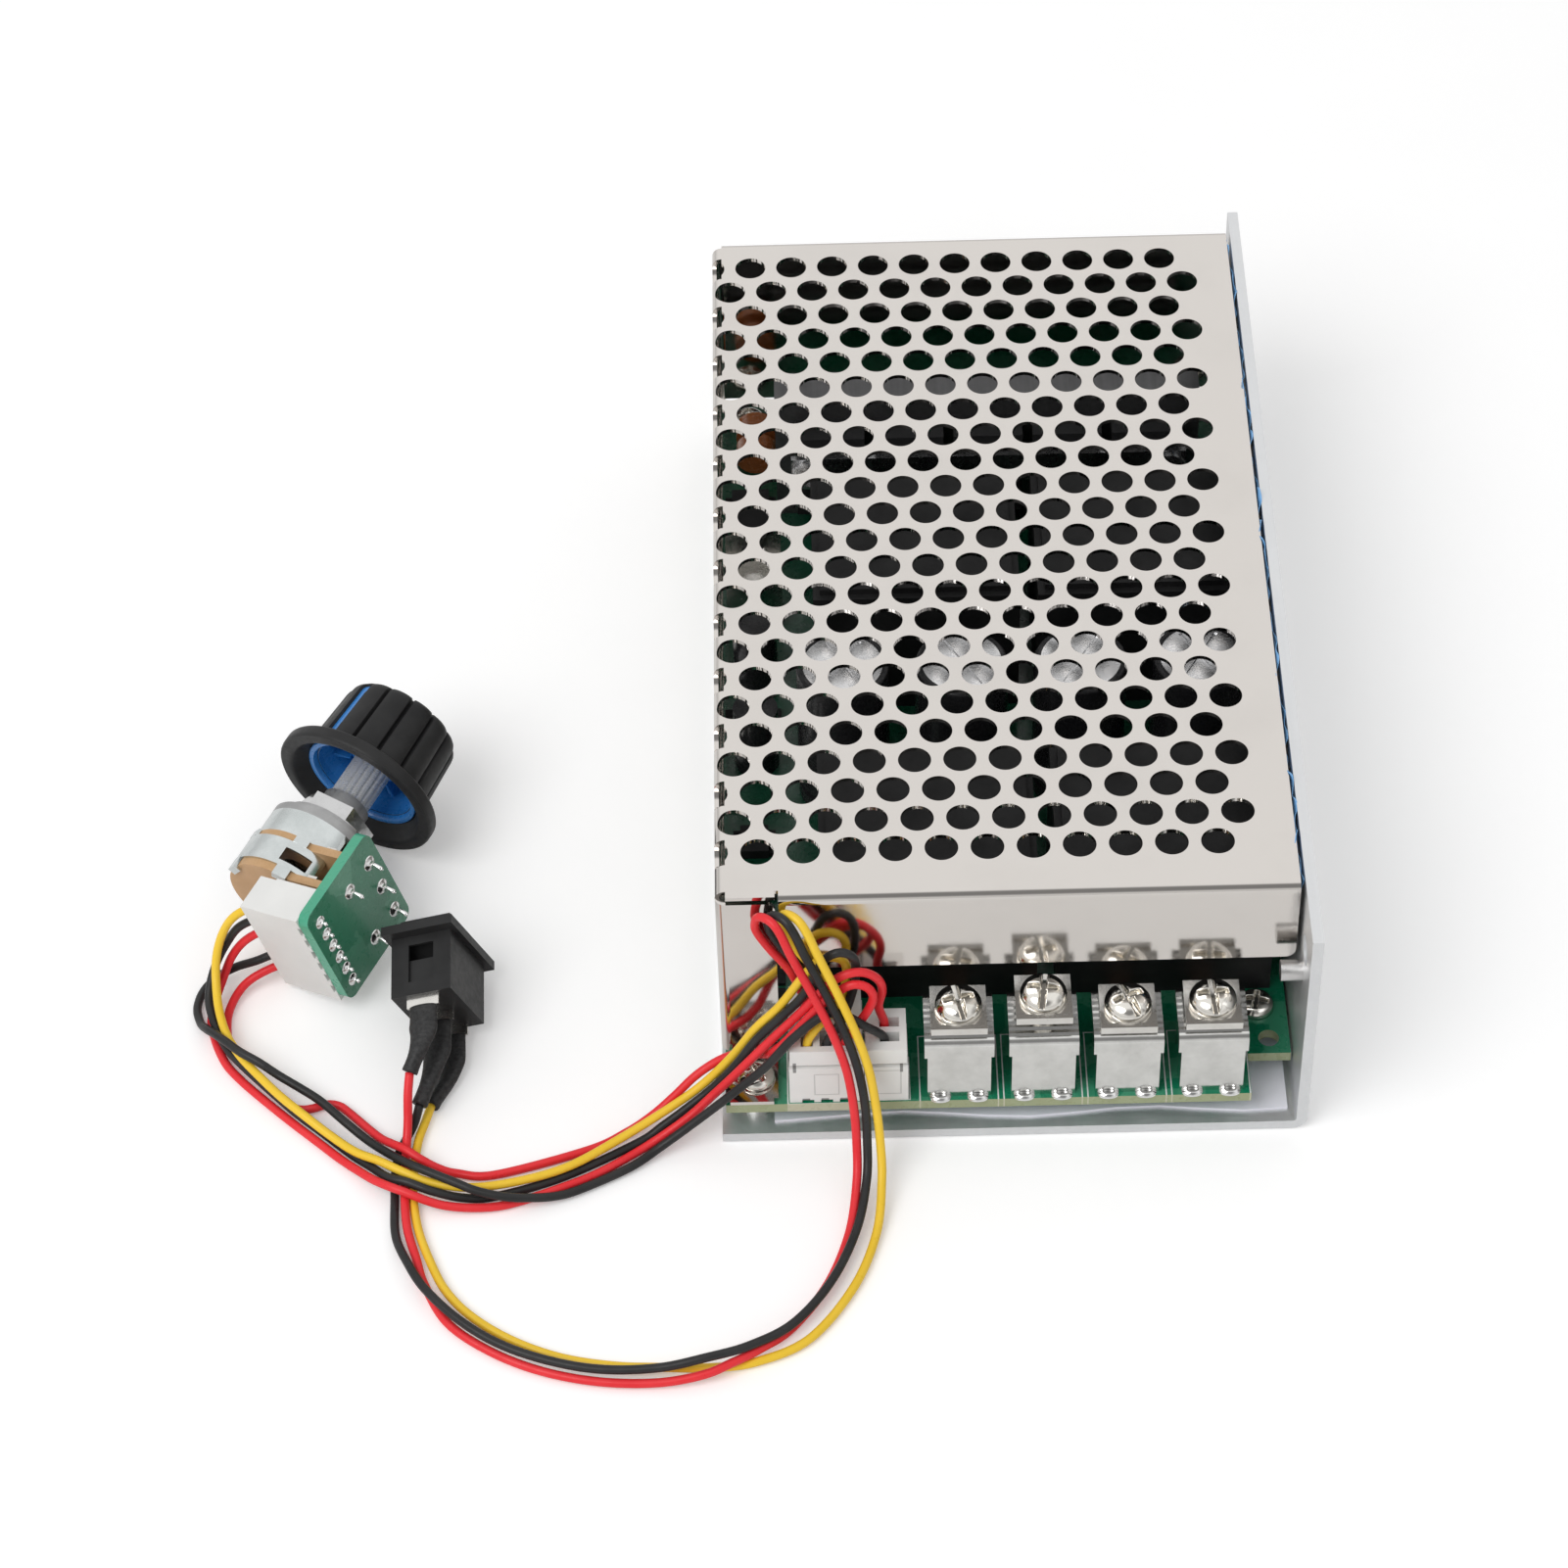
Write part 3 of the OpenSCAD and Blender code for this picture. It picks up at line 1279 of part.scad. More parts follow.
switch_red_points = [
  [-80.6, -64.2, 7.8], [-80.9, -66.5, 5.8], [-81, -69, 3.2], [-81.2, -71.5, 1.6],
  [-81.3, -75, 1.15], [-81.2, -79, 1.15], [-80.6, -85, 1.1], [-79.2, -90, 0.75],
  [-78, -94, 0.65], [-74.8, -100.1, 0.62], [-69.2, -104.7, 0.6], [-62.5, -108, 0.6],
  [-55, -109.9, 0.62], [-47.5, -110.4, 0.8], [-41.6, -109.8, 1.5], [-37.8, -108.3, 1.95],
  [-34.2, -105.9, 1.5], [-30.2, -102.3, 0.7], [-25.5, -95.5, 0.64], [-22.5, -87.5, 0.9],
  [-21.3, -80.5, 3], [-21.2, -76.5, 6.5], [-21.5, -74.2, 11], [-22.3, -72.3, 16],
  [-23.9, -70.5, 21], [-26.3, -68.5, 26.5], [-29, -66.8, 32.5], [-29.7, -66.2, 34.1],
  [-30.4, -65.5, 35.7], [-31.3, -64.6, 36.8], [-32.4, -63.6, 36.9], [-33.3, -62.7, 36.1],
  [-33.7, -62.3, 34.7], [-33.6, -62.2, 32.8], [-32, -62.2, 29.3], [-29.4, -62.2, 24.6],
  [-27.8, -62.2, 19.5], [-27.45, -62.2, 16.8], [-27.45, -62.2, 14.8]];

switch_black_points = [
  [-79.5, -66.4, 3.6], [-80.3, -68.2, 1.8], [-81.4, -70, 0.75], [-82.3, -72.5, 0.65],
  [-82.6, -76, 0.6], [-82.5, -80, 0.62], [-82.1, -86, 0.75], [-80.3, -91, 1.6],
  [-77.8, -95.6, 2], [-73.4, -100.4, 1.9], [-68.2, -104.2, 1.7], [-62, -107, 1.7],
  [-55, -108.7, 1.7], [-47.5, -109, 2.1], [-41, -108.3, 3.2], [-35.6, -106.4, 2.9],
  [-30, -102.4, 1.95], [-25, -95.8, 1.8], [-21.5, -87.5, 1.8], [-20, -80.5, 3.2],
  [-19.8, -76.5, 6.5], [-20, -74, 11], [-20.8, -72.2, 16], [-22.3, -70.4, 21],
  [-24.7, -68.3, 26.7], [-27.3, -66.7, 32.6], [-28, -66, 34.2], [-28.7, -65.4, 35.8],
  [-29.6, -64.5, 36.9], [-30.7, -63.4, 37], [-31.6, -62.6, 36.2], [-32, -62.2, 34.8],
  [-31.9, -62.1, 32.8], [-30.4, -62.1, 29.3], [-27.8, -62.1, 24.6], [-25.6, -62.2, 19.5],
  [-24.95, -62.2, 16.8], [-24.95, -62.2, 14.8]];

switch_yellow_points = [
  [-78.2, -64.6, 1.1], [-78.9, -67, 0.8], [-79.7, -70, 0.65], [-80.1, -74, 0.6],
  [-80.1, -79, 0.6], [-79.3, -84.5, 0.6], [-77.5, -90, 0.6], [-75.2, -95, 0.6],
  [-71.7, -99.2, 0.6], [-66.4, -103.1, 0.6], [-60, -106, 0.6], [-53, -107.5, 0.6],
  [-46.5, -107.9, 0.6], [-40.8, -108.1, 0.6], [-35, -107.4, 0.6], [-28, -104, 0.6],
  [-22.1, -96, 0.62], [-18.9, -87.5, 0.9], [-18, -80.5, 3], [-18.1, -76.5, 6.5],
  [-18.6, -74, 11], [-19.4, -72.2, 16], [-20.9, -70.4, 21], [-23.2, -68.3, 26.7],
  [-25.7, -66.5, 32.6], [-26.4, -65.8, 34.2], [-27.1, -65.2, 35.8], [-28, -64.3, 36.9],
  [-29.1, -63.3, 37], [-30, -62.4, 36.2], [-30.4, -62.1, 34.8], [-30.3, -62, 32.8],
  [-28.8, -62, 29.3], [-26.2, -62, 24.6], [-23.4, -62.2, 19.5], [-22.45, -62.2, 16.8],
  [-22.45, -62.2, 14.8]];

pot_yellow_points = [
  [-100.41, -41.7, 15.88], [-102.25, -40.89, 15.39], [-105.2, -40.6, 13], [-107.1, -40.8, 9.6],
  [-108.1, -42.4, 6.6], [-108.2, -45, 4.2], [-107.7, -48.6, 2.95], [-106.4, -52.8, 2.8],
  [-104.4, -56.5, 2.85], [-101.9, -59.8, 2.95], [-98.45, -63.8, 2.92], [-94.8, -67.2, 2.6],
  [-91.4, -70.1, 2.1], [-88, -72.9, 2.1], [-84.6, -74.9, 2.5], [-81.2, -76.9, 2.5],
  [-77.6, -78.2, 1.85], [-72.3, -79, 1.65], [-65.7, -78.2, 1.85], [-59.2, -75.9, 1.85],
  [-52.6, -71.9, 2.3], [-46, -68.2, 3.9], [-41.6, -66.1, 6], [-37.6, -65, 10.3],
  [-34.2, -64.8, 16], [-31, -64.5, 20], [-28.5, -64.1, 24.1], [-27.4, -63.9, 25.9],
  [-26.3, -63.7, 27.4], [-25.3, -63.5, 28.4], [-23.8, -63.4, 28.6], [-22.5, -63.3, 27.8],
  [-22, -63.3, 26.2], [-22.1, -63.4, 24.3], [-22.4, -64.1, 22.6], [-23.3, -65.3, 21.2],
  [-24.8, -66.7, 20.2], [-26.3, -67.7, 19], [-27.3, -68.05, 17.2], [-27.45, -68.05, 14.8]];

pot_black_points = [
  [-99.76, -41.69, 13.47], [-101.59, -40.88, 12.97], [-104.6, -40.4, 10.8], [-106.7, -40.3, 7.4],
  [-108.3, -41.9, 5], [-109.2, -44.6, 3.2], [-109.1, -47.6, 2], [-107, -53.2, 1.65],
  [-104.2, -57.2, 1.68], [-98, -64, 1.65], [-95.4, -66.4, 1.3], [-92.8, -68.5, 0.9],
  [-88.6, -72.4, 0.85], [-86, -74.7, 1.2], [-83.4, -77.3, 2.05], [-80.8, -78.5, 2.5],
  [-77.5, -79.7, 2], [-73.4, -80.2, 1], [-69, -79.8, 0.65], [-60.3, -76.9, 0.66],
  [-50.4, -71.7, 0.95], [-46.9, -69.9, 2.3], [-43.6, -68.3, 4], [-40.2, -67, 6.4],
  [-37, -66.6, 10.6], [-34, -66.1, 15.4], [-31, -65.7, 19], [-28, -65.3, 22.8], [-26, -65, 27.2],
  [-25.2, -64.9, 29.3], [-24.2, -64.8, 30.5], [-22.9, -64.7, 31], [-21.6, -64.6, 30.4],
  [-20.9, -64.3, 28.9], [-20.8, -64.1, 26.5], [-21.2, -64.5, 23.2], [-22.7, -66.8, 19.9],
  [-24.6, -68, 17.3], [-24.95, -68.05, 14.8]];

pot_red_points = [
  [-99.1, -41.68, 11.05], [-100.93, -40.87, 10.56], [-104, -40.6, 8.2], [-106.2, -40.9, 5.2],
  [-107.6, -42.7, 2.6], [-108.7, -45.6, 1], [-109, -48.6, 0.65], [-108.5, -51.1, 0.6],
  [-107.6, -53.8, 0.6], [-106.3, -56.5, 0.6], [-104.6, -58.7, 0.6], [-102.5, -61, 0.6],
  [-97.8, -65.7, 0.6], [-92.7, -70.5, 0.6], [-90.2, -72.9, 0.7], [-87.6, -75.3, 1.1],
  [-84.9, -77.8, 1.9], [-81.3, -80, 2.45], [-76, -81.5, 1.2], [-70, -81.6, 0.65],
  [-65, -80.4, 0.6], [-58.1, -77.6, 0.6], [-54.8, -75.9, 0.66], [-51.5, -73.8, 0.72],
  [-48.1, -71.9, 1.5], [-43.6, -69.9, 3.8], [-40, -68.4, 6.8], [-37.4, -68, 9.9],
  [-34, -67.5, 14.2], [-31, -66.8, 17.6], [-28.1, -66.3, 21], [-26.2, -66.1, 23.6],
  [-23.7, -65.9, 26.8], [-21.5, -65.7, 28], [-19.5, -65.3, 27.5], [-17.9, -65, 25.7],
  [-17.4, -64.9, 23.4], [-17.9, -64.9, 20.2], [-17.2, -64.85, 17], [-17.2, -64.85, 14.8]];

pot_black_2_points = [
  [-97.79, -41.66, 6.23], [-99.62, -40.84, 5.74], [-103, -40.9, 4.1], [-106, -40.6, 2.5],
  [-108.6, -41.3, 1.3], [-110.5, -43.4, 0.7], [-111.1, -46.3, 0.62], [-110.4, -49.2, 1],
  [-109.3, -51.2, 2.1], [-108, -52.9, 3.1], [-106.3, -54.9, 3.9], [-104.2, -57, 4.2],
  [-101.4, -58.8, 3.9], [-98.8, -60.2, 2.8], [-95.9, -61.9, 2.1], [-93, -64.1, 1.9],
  [-89.6, -67.5, 1.6], [-86.5, -70.4, 1.3], [-83.6, -73.2, 2], [-81.3, -75.2, 2.7],
  [-79, -76.8, 3.1], [-74.2, -79.3, 3.1], [-71.5, -80.4, 2.7], [-67.8, -81.1, 2.2],
  [-64.5, -81, 1.7], [-61.3, -80.3, 1], [-58.1, -79.1, 0.72], [-51.4, -75.6, 0.72],
  [-47, -72.8, 1.7], [-41, -70.8, 5.8], [-35.5, -69.7, 10.8], [-32.4, -69.4, 14.4],
  [-29.3, -69, 18.8], [-25.8, -68.3, 22.1], [-23.6, -68.1, 22.8], [-21.6, -68.5, 22.2],
  [-19.9, -68.6, 20.7], [-18, -67.8, 18.2], [-17.25, -67.4, 16.7], [-17.2, -67.35, 14.8]];

pot_red_2_points = [
  [-97.13, -41.64, 3.82], [-98.97, -40.83, 3.32], [-102, -41.6, 2.6], [-104.6, -42.9, 1.6],
  [-106.2, -45.4, 0.9], [-106.8, -48.8, 0.65], [-106.1, -53.4, 0.6], [-104, -56.6, 0.6],
  [-98.8, -62.2, 0.6], [-97.4, -63.7, 0.6], [-95.8, -64.4, 0.6], [-94.1, -64.2, 0.6],
  [-92.4, -63.6, 0.6], [-90.7, -63.9, 0.6], [-89.3, -65.1, 0.6], [-85.3, -69.4, 0.9],
  [-83.3, -71.4, 1.8], [-81.4, -73, 2.6], [-79.4, -74.4, 2.3], [-76.9, -75.4, 1.3],
  [-74.3, -75.9, 0.7], [-69.2, -76.2, 0.62], [-57, -72.5, 0.66], [-52, -69.8, 0.78],
  [-48.5, -67.9, 1.9], [-45.4, -66.3, 4], [-42.5, -64.7, 6.2], [-39.5, -63.8, 8.1],
  [-36.6, -63.9, 9.8], [-34, -65.4, 11.4], [-31.2, -67.8, 15.5], [-25.6, -66.9, 22.9],
  [-23.2, -66.6, 25.4], [-21.2, -66.4, 26.5], [-19.4, -66.5, 26], [-18.6, -66.7, 24.3],
  [-19.2, -67, 22.2], [-20.6, -67.5, 19.8], [-22.2, -68, 17.2], [-22.45, -68.05, 14.8]];

module lug_sleeves() {
  color([0.12, 0.12, 0.13]) for (p = [sleeve_1, sleeve_2, sleeve_3])
    tube(route(p, 3), sleeve_flat, sleeve_round, sleeve_side);
}

red = [0.85, 0.12, 0.12];
black = [0.15, 0.15, 0.15];
yellow = [0.95, 0.75, 0.1];

module switch_wire_red() { color(red) lead(switch_red_points); }
module switch_wire_black() { color(black) lead(switch_black_points); }
module switch_wire_yellow() { color(yellow) lead(switch_yellow_points); }
module pot_wire_yellow() { color(yellow) lead(pot_yellow_points); }
module pot_wire_black() { color(black) lead(pot_black_points); }
module pot_wire_red() { color(red) lead(pot_red_points); }
module pot_wire_black_2() { color(black) lead(pot_black_2_points); }
module pot_wire_red_2() { color(red) lead(pot_red_2_points); }

module terminal_n(i) {
  color([0.8, 0.8, 0.8]) terminal_at(i) terminal();
}

chassis();
earth_stud();
insulating_sheet();
standoffs();
main_board();
board_screws();
cover();
foot_screw();
film_strip();
heat_sink();
power_transistors();
transistor_clamp();
capacitors();
capacitor_tops();
relays();
chips();
small_capacitors();
signal_parts();
regulator();
disc_capacitors();
current_links();
terminal_n(0);  // terminal_1
terminal_n(1);  // terminal_2
terminal_n(2);  // terminal_3
terminal_n(3);  // terminal_4
clamp_washer(0);  // clamp_washer_1
clamp_washer(1);  // clamp_washer_2
clamp_washer(2);  // clamp_washer_3
clamp_washer(3);  // clamp_washer_4
terminal_screw(0);  // terminal_screw_1
terminal_screw(1);  // terminal_screw_2
terminal_screw(2);  // terminal_screw_3
terminal_screw(3);  // terminal_screw_4
terminal_solder();
board_sockets();
board_plugs();
pot_case();
pot_wafers();
pot_lugs();
pot_bush();
pot_nut();
pot_shaft();
knob();
knob_insert();
pot_board();
pot_solder();
pot_socket();
pot_plug();
switch_body();
switch_rocker();
switch_lugs();
lug_sleeves();
switch_wire_red();
switch_wire_black();
switch_wire_yellow();
pot_wire_yellow();
pot_wire_black();
pot_wire_red();
pot_wire_black_2();
pot_wire_red_2();
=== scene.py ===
"""Finished look of a DC motor speed controller.

Case, boards, terminals, speed knob, switch and leads, in metres, around the CAD nodes."""

import math

import bpy
import numpy as np
from bpy.props import (
    FloatProperty,
    FloatVectorProperty,
    IntProperty,
    PointerProperty,
)
from mathutils import Matrix


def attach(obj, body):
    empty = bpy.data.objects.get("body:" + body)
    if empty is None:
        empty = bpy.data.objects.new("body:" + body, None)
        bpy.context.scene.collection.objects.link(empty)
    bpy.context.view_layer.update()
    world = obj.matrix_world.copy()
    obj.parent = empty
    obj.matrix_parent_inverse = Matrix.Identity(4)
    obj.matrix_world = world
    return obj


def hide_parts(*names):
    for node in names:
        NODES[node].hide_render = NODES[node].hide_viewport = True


bl_info = {
    "name": "DC motor speed controller",
    "version": (1, 0, 0),
    "blender": (4, 5, 0),
    "location": "3D View > Sidebar > Controller",
    "description": "Makes the finishes and fine pieces of a cased DC motor speed controller",
    "category": "Object",
}

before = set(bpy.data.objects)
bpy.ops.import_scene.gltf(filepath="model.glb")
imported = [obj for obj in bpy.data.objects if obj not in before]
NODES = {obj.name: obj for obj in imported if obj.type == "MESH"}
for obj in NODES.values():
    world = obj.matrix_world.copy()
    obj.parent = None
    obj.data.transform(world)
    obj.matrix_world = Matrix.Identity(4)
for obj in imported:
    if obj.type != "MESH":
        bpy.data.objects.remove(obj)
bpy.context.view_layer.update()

# The runs below are in whole hundredths of a millimetre, and this many are a metre.
HUNDREDTHS = 1e5

# Middle lines of the eight leads: finish, then the points from the far end to the case.
LEAD_RUNS = {
    "switch_wire_red": ("lead_red", (
        (-8060, -6420, 780), (-8090, -6650, 580), (-8100, -6900, 320), (-8120, -7150, 160),
        (-8130, -7500, 115), (-8120, -7900, 115), (-8060, -8500, 110), (-7920, -9000, 75),
        (-7800, -9400, 65), (-7480, -10010, 62), (-6920, -10470, 60), (-6250, -10800, 60),
        (-5500, -10990, 62), (-4750, -11040, 80), (-4160, -10980, 150), (-3780, -10830, 195),
        (-3420, -10590, 150), (-3020, -10230, 70), (-2550, -9550, 64), (-2250, -8750, 90),
        (-2130, -8050, 300), (-2120, -7650, 650), (-2150, -7420, 1100), (-2230, -7230, 1600),
        (-2390, -7050, 2100), (-2630, -6850, 2650), (-2900, -6680, 3250), (-2970, -6620, 3410),
        (-3040, -6550, 3570), (-3130, -6460, 3680), (-3240, -6360, 3690), (-3330, -6270, 3610),
        (-3370, -6230, 3470), (-3360, -6220, 3280), (-3200, -6220, 2930), (-2940, -6220, 2460),
        (-2780, -6220, 1950), (-2745, -6220, 1680), (-2745, -6220, 1480),
    )),
    "switch_wire_black": ("lead_black", (
        (-7950, -6640, 360), (-8030, -6820, 180), (-8140, -7000, 75), (-8230, -7250, 65),
        (-8260, -7600, 60), (-8250, -8000, 62), (-8210, -8600, 75), (-8030, -9100, 160),
        (-7780, -9560, 200), (-7340, -10040, 190), (-6820, -10420, 170), (-6200, -10700, 170),
        (-5500, -10870, 170), (-4750, -10900, 210), (-4100, -10830, 320), (-3560, -10640, 290),
        (-3000, -10240, 195), (-2500, -9580, 180), (-2150, -8750, 180), (-2000, -8050, 320),
        (-1980, -7650, 650), (-2000, -7400, 1100), (-2080, -7220, 1600), (-2230, -7040, 2100),
        (-2470, -6830, 2670), (-2730, -6670, 3260), (-2800, -6600, 3420), (-2870, -6540, 3580),
        (-2960, -6450, 3690), (-3070, -6340, 3700), (-3160, -6260, 3620), (-3200, -6220, 3480),
        (-3190, -6210, 3280), (-3040, -6210, 2930), (-2780, -6210, 2460), (-2560, -6220, 1950),
        (-2495, -6220, 1680), (-2495, -6220, 1480),
    )),
    "switch_wire_yellow": ("lead_yellow", (
        (-7820, -6460, 110), (-7890, -6700, 80), (-7970, -7000, 65), (-8010, -7400, 60),
        (-8010, -7900, 60), (-7930, -8450, 60), (-7750, -9000, 60), (-7520, -9500, 60),
        (-7170, -9920, 60), (-6640, -10310, 60), (-6000, -10600, 60), (-5300, -10750, 60),
        (-4650, -10790, 60), (-4080, -10810, 60), (-3500, -10740, 60), (-2800, -10400, 60),
        (-2210, -9600, 62), (-1890, -8750, 90), (-1800, -8050, 300), (-1810, -7650, 650),
        (-1860, -7400, 1100), (-1940, -7220, 1600), (-2090, -7040, 2100), (-2320, -6830, 2670),
        (-2570, -6650, 3260), (-2640, -6580, 3420), (-2710, -6520, 3580), (-2800, -6430, 3690),
        (-2910, -6330, 3700), (-3000, -6240, 3620), (-3040, -6210, 3480), (-3030, -6200, 3280),
        (-2880, -6200, 2930), (-2620, -6200, 2460), (-2340, -6220, 1950), (-2245, -6220, 1680),
        (-2245, -6220, 1480),
    )),
    "pot_wire_yellow": ("lead_yellow", (
        (-10041, -4170, 1588), (-10225, -4089, 1539), (-10520, -4060, 1300), (-10710, -4080, 960),
        (-10810, -4240, 660), (-10820, -4500, 420), (-10770, -4860, 295), (-10640, -5280, 280),
        (-10440, -5650, 285), (-10190, -5980, 295), (-9845, -6380, 292), (-9480, -6720, 260),
        (-9140, -7010, 210), (-8800, -7290, 210), (-8460, -7490, 250), (-8120, -7690, 250),
        (-7760, -7820, 185), (-7230, -7900, 165), (-6570, -7820, 185), (-5920, -7590, 185),
        (-5260, -7190, 230), (-4600, -6820, 390), (-4160, -6610, 600), (-3760, -6500, 1030),
        (-3420, -6480, 1600), (-3100, -6450, 2000), (-2850, -6410, 2410), (-2740, -6390, 2590),
        (-2630, -6370, 2740), (-2530, -6350, 2840), (-2380, -6340, 2860), (-2250, -6330, 2780),
        (-2200, -6330, 2620), (-2210, -6340, 2430), (-2240, -6410, 2260), (-2330, -6530, 2120),
        (-2480, -6670, 2020), (-2630, -6770, 1900), (-2730, -6805, 1720), (-2745, -6805, 1480),
    )),
    "pot_wire_black": ("lead_black", (
        (-9976, -4169, 1347), (-10159, -4088, 1297), (-10460, -4040, 1080), (-10670, -4030, 740),
        (-10830, -4190, 500), (-10920, -4460, 320), (-10910, -4760, 200), (-10700, -5320, 165),
        (-10420, -5720, 168), (-9800, -6400, 165), (-9540, -6640, 130), (-9280, -6850, 90),
        (-8860, -7240, 85), (-8600, -7470, 120), (-8340, -7730, 205), (-8080, -7850, 250),
        (-7750, -7970, 200), (-7340, -8020, 100), (-6900, -7980, 65), (-6030, -7690, 66),
        (-5040, -7170, 95), (-4690, -6990, 230), (-4360, -6830, 400), (-4020, -6700, 640),
        (-3700, -6660, 1060), (-3400, -6610, 1540), (-3100, -6570, 1900), (-2800, -6530, 2280),
        (-2600, -6500, 2720), (-2520, -6490, 2930), (-2420, -6480, 3050), (-2290, -6470, 3100),
        (-2160, -6460, 3040), (-2090, -6430, 2890), (-2080, -6410, 2650), (-2120, -6450, 2320),
        (-2270, -6680, 1990), (-2460, -6800, 1730), (-2495, -6805, 1480),
    )),
    "pot_wire_red": ("lead_red", (
        (-9910, -4168, 1105), (-10093, -4087, 1056), (-10400, -4060, 820), (-10620, -4090, 520),
        (-10760, -4270, 260), (-10870, -4560, 100), (-10900, -4860, 65), (-10850, -5110, 60),
        (-10760, -5380, 60), (-10630, -5650, 60), (-10460, -5870, 60), (-10250, -6100, 60),
        (-9780, -6570, 60), (-9270, -7050, 60), (-9020, -7290, 70), (-8760, -7530, 110),
        (-8490, -7780, 190), (-8130, -8000, 245), (-7600, -8150, 120), (-7000, -8160, 65),
        (-6500, -8040, 60), (-5810, -7760, 60), (-5480, -7590, 66), (-5150, -7380, 72),
        (-4810, -7190, 150), (-4360, -6990, 380), (-4000, -6840, 680), (-3740, -6800, 990),
        (-3400, -6750, 1420), (-3100, -6680, 1760), (-2810, -6630, 2100), (-2620, -6610, 2360),
        (-2370, -6590, 2680), (-2150, -6570, 2800), (-1950, -6530, 2750), (-1790, -6500, 2570),
        (-1740, -6490, 2340), (-1790, -6490, 2020), (-1720, -6485, 1700), (-1720, -6485, 1480),
    )),
    "pot_wire_black_2": ("lead_black", (
        (-9779, -4166, 623), (-9962, -4084, 574), (-10300, -4090, 410), (-10600, -4060, 250),
        (-10860, -4130, 130), (-11050, -4340, 70), (-11110, -4630, 62), (-11040, -4920, 100),
        (-10930, -5120, 210), (-10800, -5290, 310), (-10630, -5490, 390), (-10420, -5700, 420),
        (-10140, -5880, 390), (-9880, -6020, 280), (-9590, -6190, 210), (-9300, -6410, 190),
        (-8960, -6750, 160), (-8650, -7040, 130), (-8360, -7320, 200), (-8130, -7520, 270),
        (-7900, -7680, 310), (-7420, -7930, 310), (-7150, -8040, 270), (-6780, -8110, 220),
        (-6450, -8100, 170), (-6130, -8030, 100), (-5810, -7910, 72), (-5140, -7560, 72),
        (-4700, -7280, 170), (-4100, -7080, 580), (-3550, -6970, 1080), (-3240, -6940, 1440),
        (-2930, -6900, 1880), (-2580, -6830, 2210), (-2360, -6810, 2280), (-2160, -6850, 2220),
        (-1990, -6860, 2070), (-1800, -6780, 1820), (-1725, -6740, 1670), (-1720, -6735, 1480),
    )),
    "pot_wire_red_2": ("lead_red", (
        (-9713, -4164, 382), (-9897, -4083, 332), (-10200, -4160, 260), (-10460, -4290, 160),
        (-10620, -4540, 90), (-10680, -4880, 65), (-10610, -5340, 60), (-10400, -5660, 60),
        (-9880, -6220, 60), (-9740, -6370, 60), (-9580, -6440, 60), (-9410, -6420, 60),
        (-9240, -6360, 60), (-9070, -6390, 60), (-8930, -6510, 60), (-8530, -6940, 90),
        (-8330, -7140, 180), (-8140, -7300, 260), (-7940, -7440, 230), (-7690, -7540, 130),
        (-7430, -7590, 70), (-6920, -7620, 62), (-5700, -7250, 66), (-5200, -6980, 78),
        (-4850, -6790, 190), (-4540, -6630, 400), (-4250, -6470, 620), (-3950, -6380, 810),
        (-3660, -6390, 980), (-3400, -6540, 1140), (-3120, -6780, 1550), (-2560, -6690, 2290),
        (-2320, -6660, 2540), (-2120, -6640, 2650), (-1940, -6650, 2600), (-1860, -6670, 2430),
        (-1920, -6700, 2220), (-2060, -6750, 1980), (-2220, -6800, 1720), (-2245, -6805, 1480),
    )),
}

# Middle lines of the three shrunk sleeves on the switch's lugs.
SLEEVE_RUNS = (
    ((-7886, -5565, 1120), (-7880, -5900, 1040), (-7940, -6150, 940), (-8060, -6420, 780)),
    ((-7729, -5460, 655), (-7730, -5850, 560), (-7810, -6250, 480), (-7950, -6640, 360)),
    ((-7572, -5350, 195), (-7570, -5700, 140), (-7630, -6050, 110), (-7820, -6460, 110)),
)

# Flat side of the lugs, which the sleeves follow where they start.
LUG_SIDE = (-.95, .05, -.31)

# Axis of the speed control, its origin on the case's front, and the two axes across it.
POT_AT = np.array((-.0946, -.02594, .01076))
POT_AXIS = np.array((.482905, .865119, .135543))
POT_ACROSS = np.array((.83548, -.501543, .22456))
POT_UP = np.array((.262251, .004802, -.964988))
# The knob's skirt stands this far along the axis, and its pointer is turned by this angle.
KNOB_STANDS = .00976
POINTER_TURN = math.radians(344)
KNOB_PANELS = 14
CUP_RIBS = 12
SHAFT_FLUTES = 18

# Middles of the four terminals across the case, their screws' line, and the board's top.
TERMINAL_X = (-.0074, .00375, .0149, .02605)
TERMINAL_Y = -.0645
BOARD_TOP = .0064
# How far each clamp screw stands up from its washer's lowest place, and how its slot is turned.
SCREW_LIFTS = (.0009, .0027, .0004, .0008)
SCREW_TURNS = (12, -8, 25, 5)
# The board's pan screws: x, y and turn of the slot. The foot screw holds the cover as well.
BOARD_SCREWS = ((-.0343, .0619, 12), (.0331, .0619, 65), (.0331, -.0023, 40), (.0331, -.0551, 78))
FOOT_SCREW = (-.0343, -.06595, .007)
PAN_HEAD = {"radius": .0025, "high": .0017, "shank": .00122, "pitch": .00045, "slot": .0007,
            "cross": .7}
CLAMP_HEAD = {"radius": .0032, "high": .0023, "shank": .0016, "pitch": .0006, "slot": .00085,
              "cross": 1}


# ---------------------------------------------------------------- settings


def length_setting(name, description, default, low, high):
    """A length that the user can change, in metres."""
    return FloatProperty(name=name, description=description, default=default, min=low, max=high,
                         unit="LENGTH")


def colour_setting(name, description, default):
    """A colour that the user can change."""
    return FloatVectorProperty(name=name, description=description, subtype="COLOR", size=3,
                               default=default, min=0, max=1)


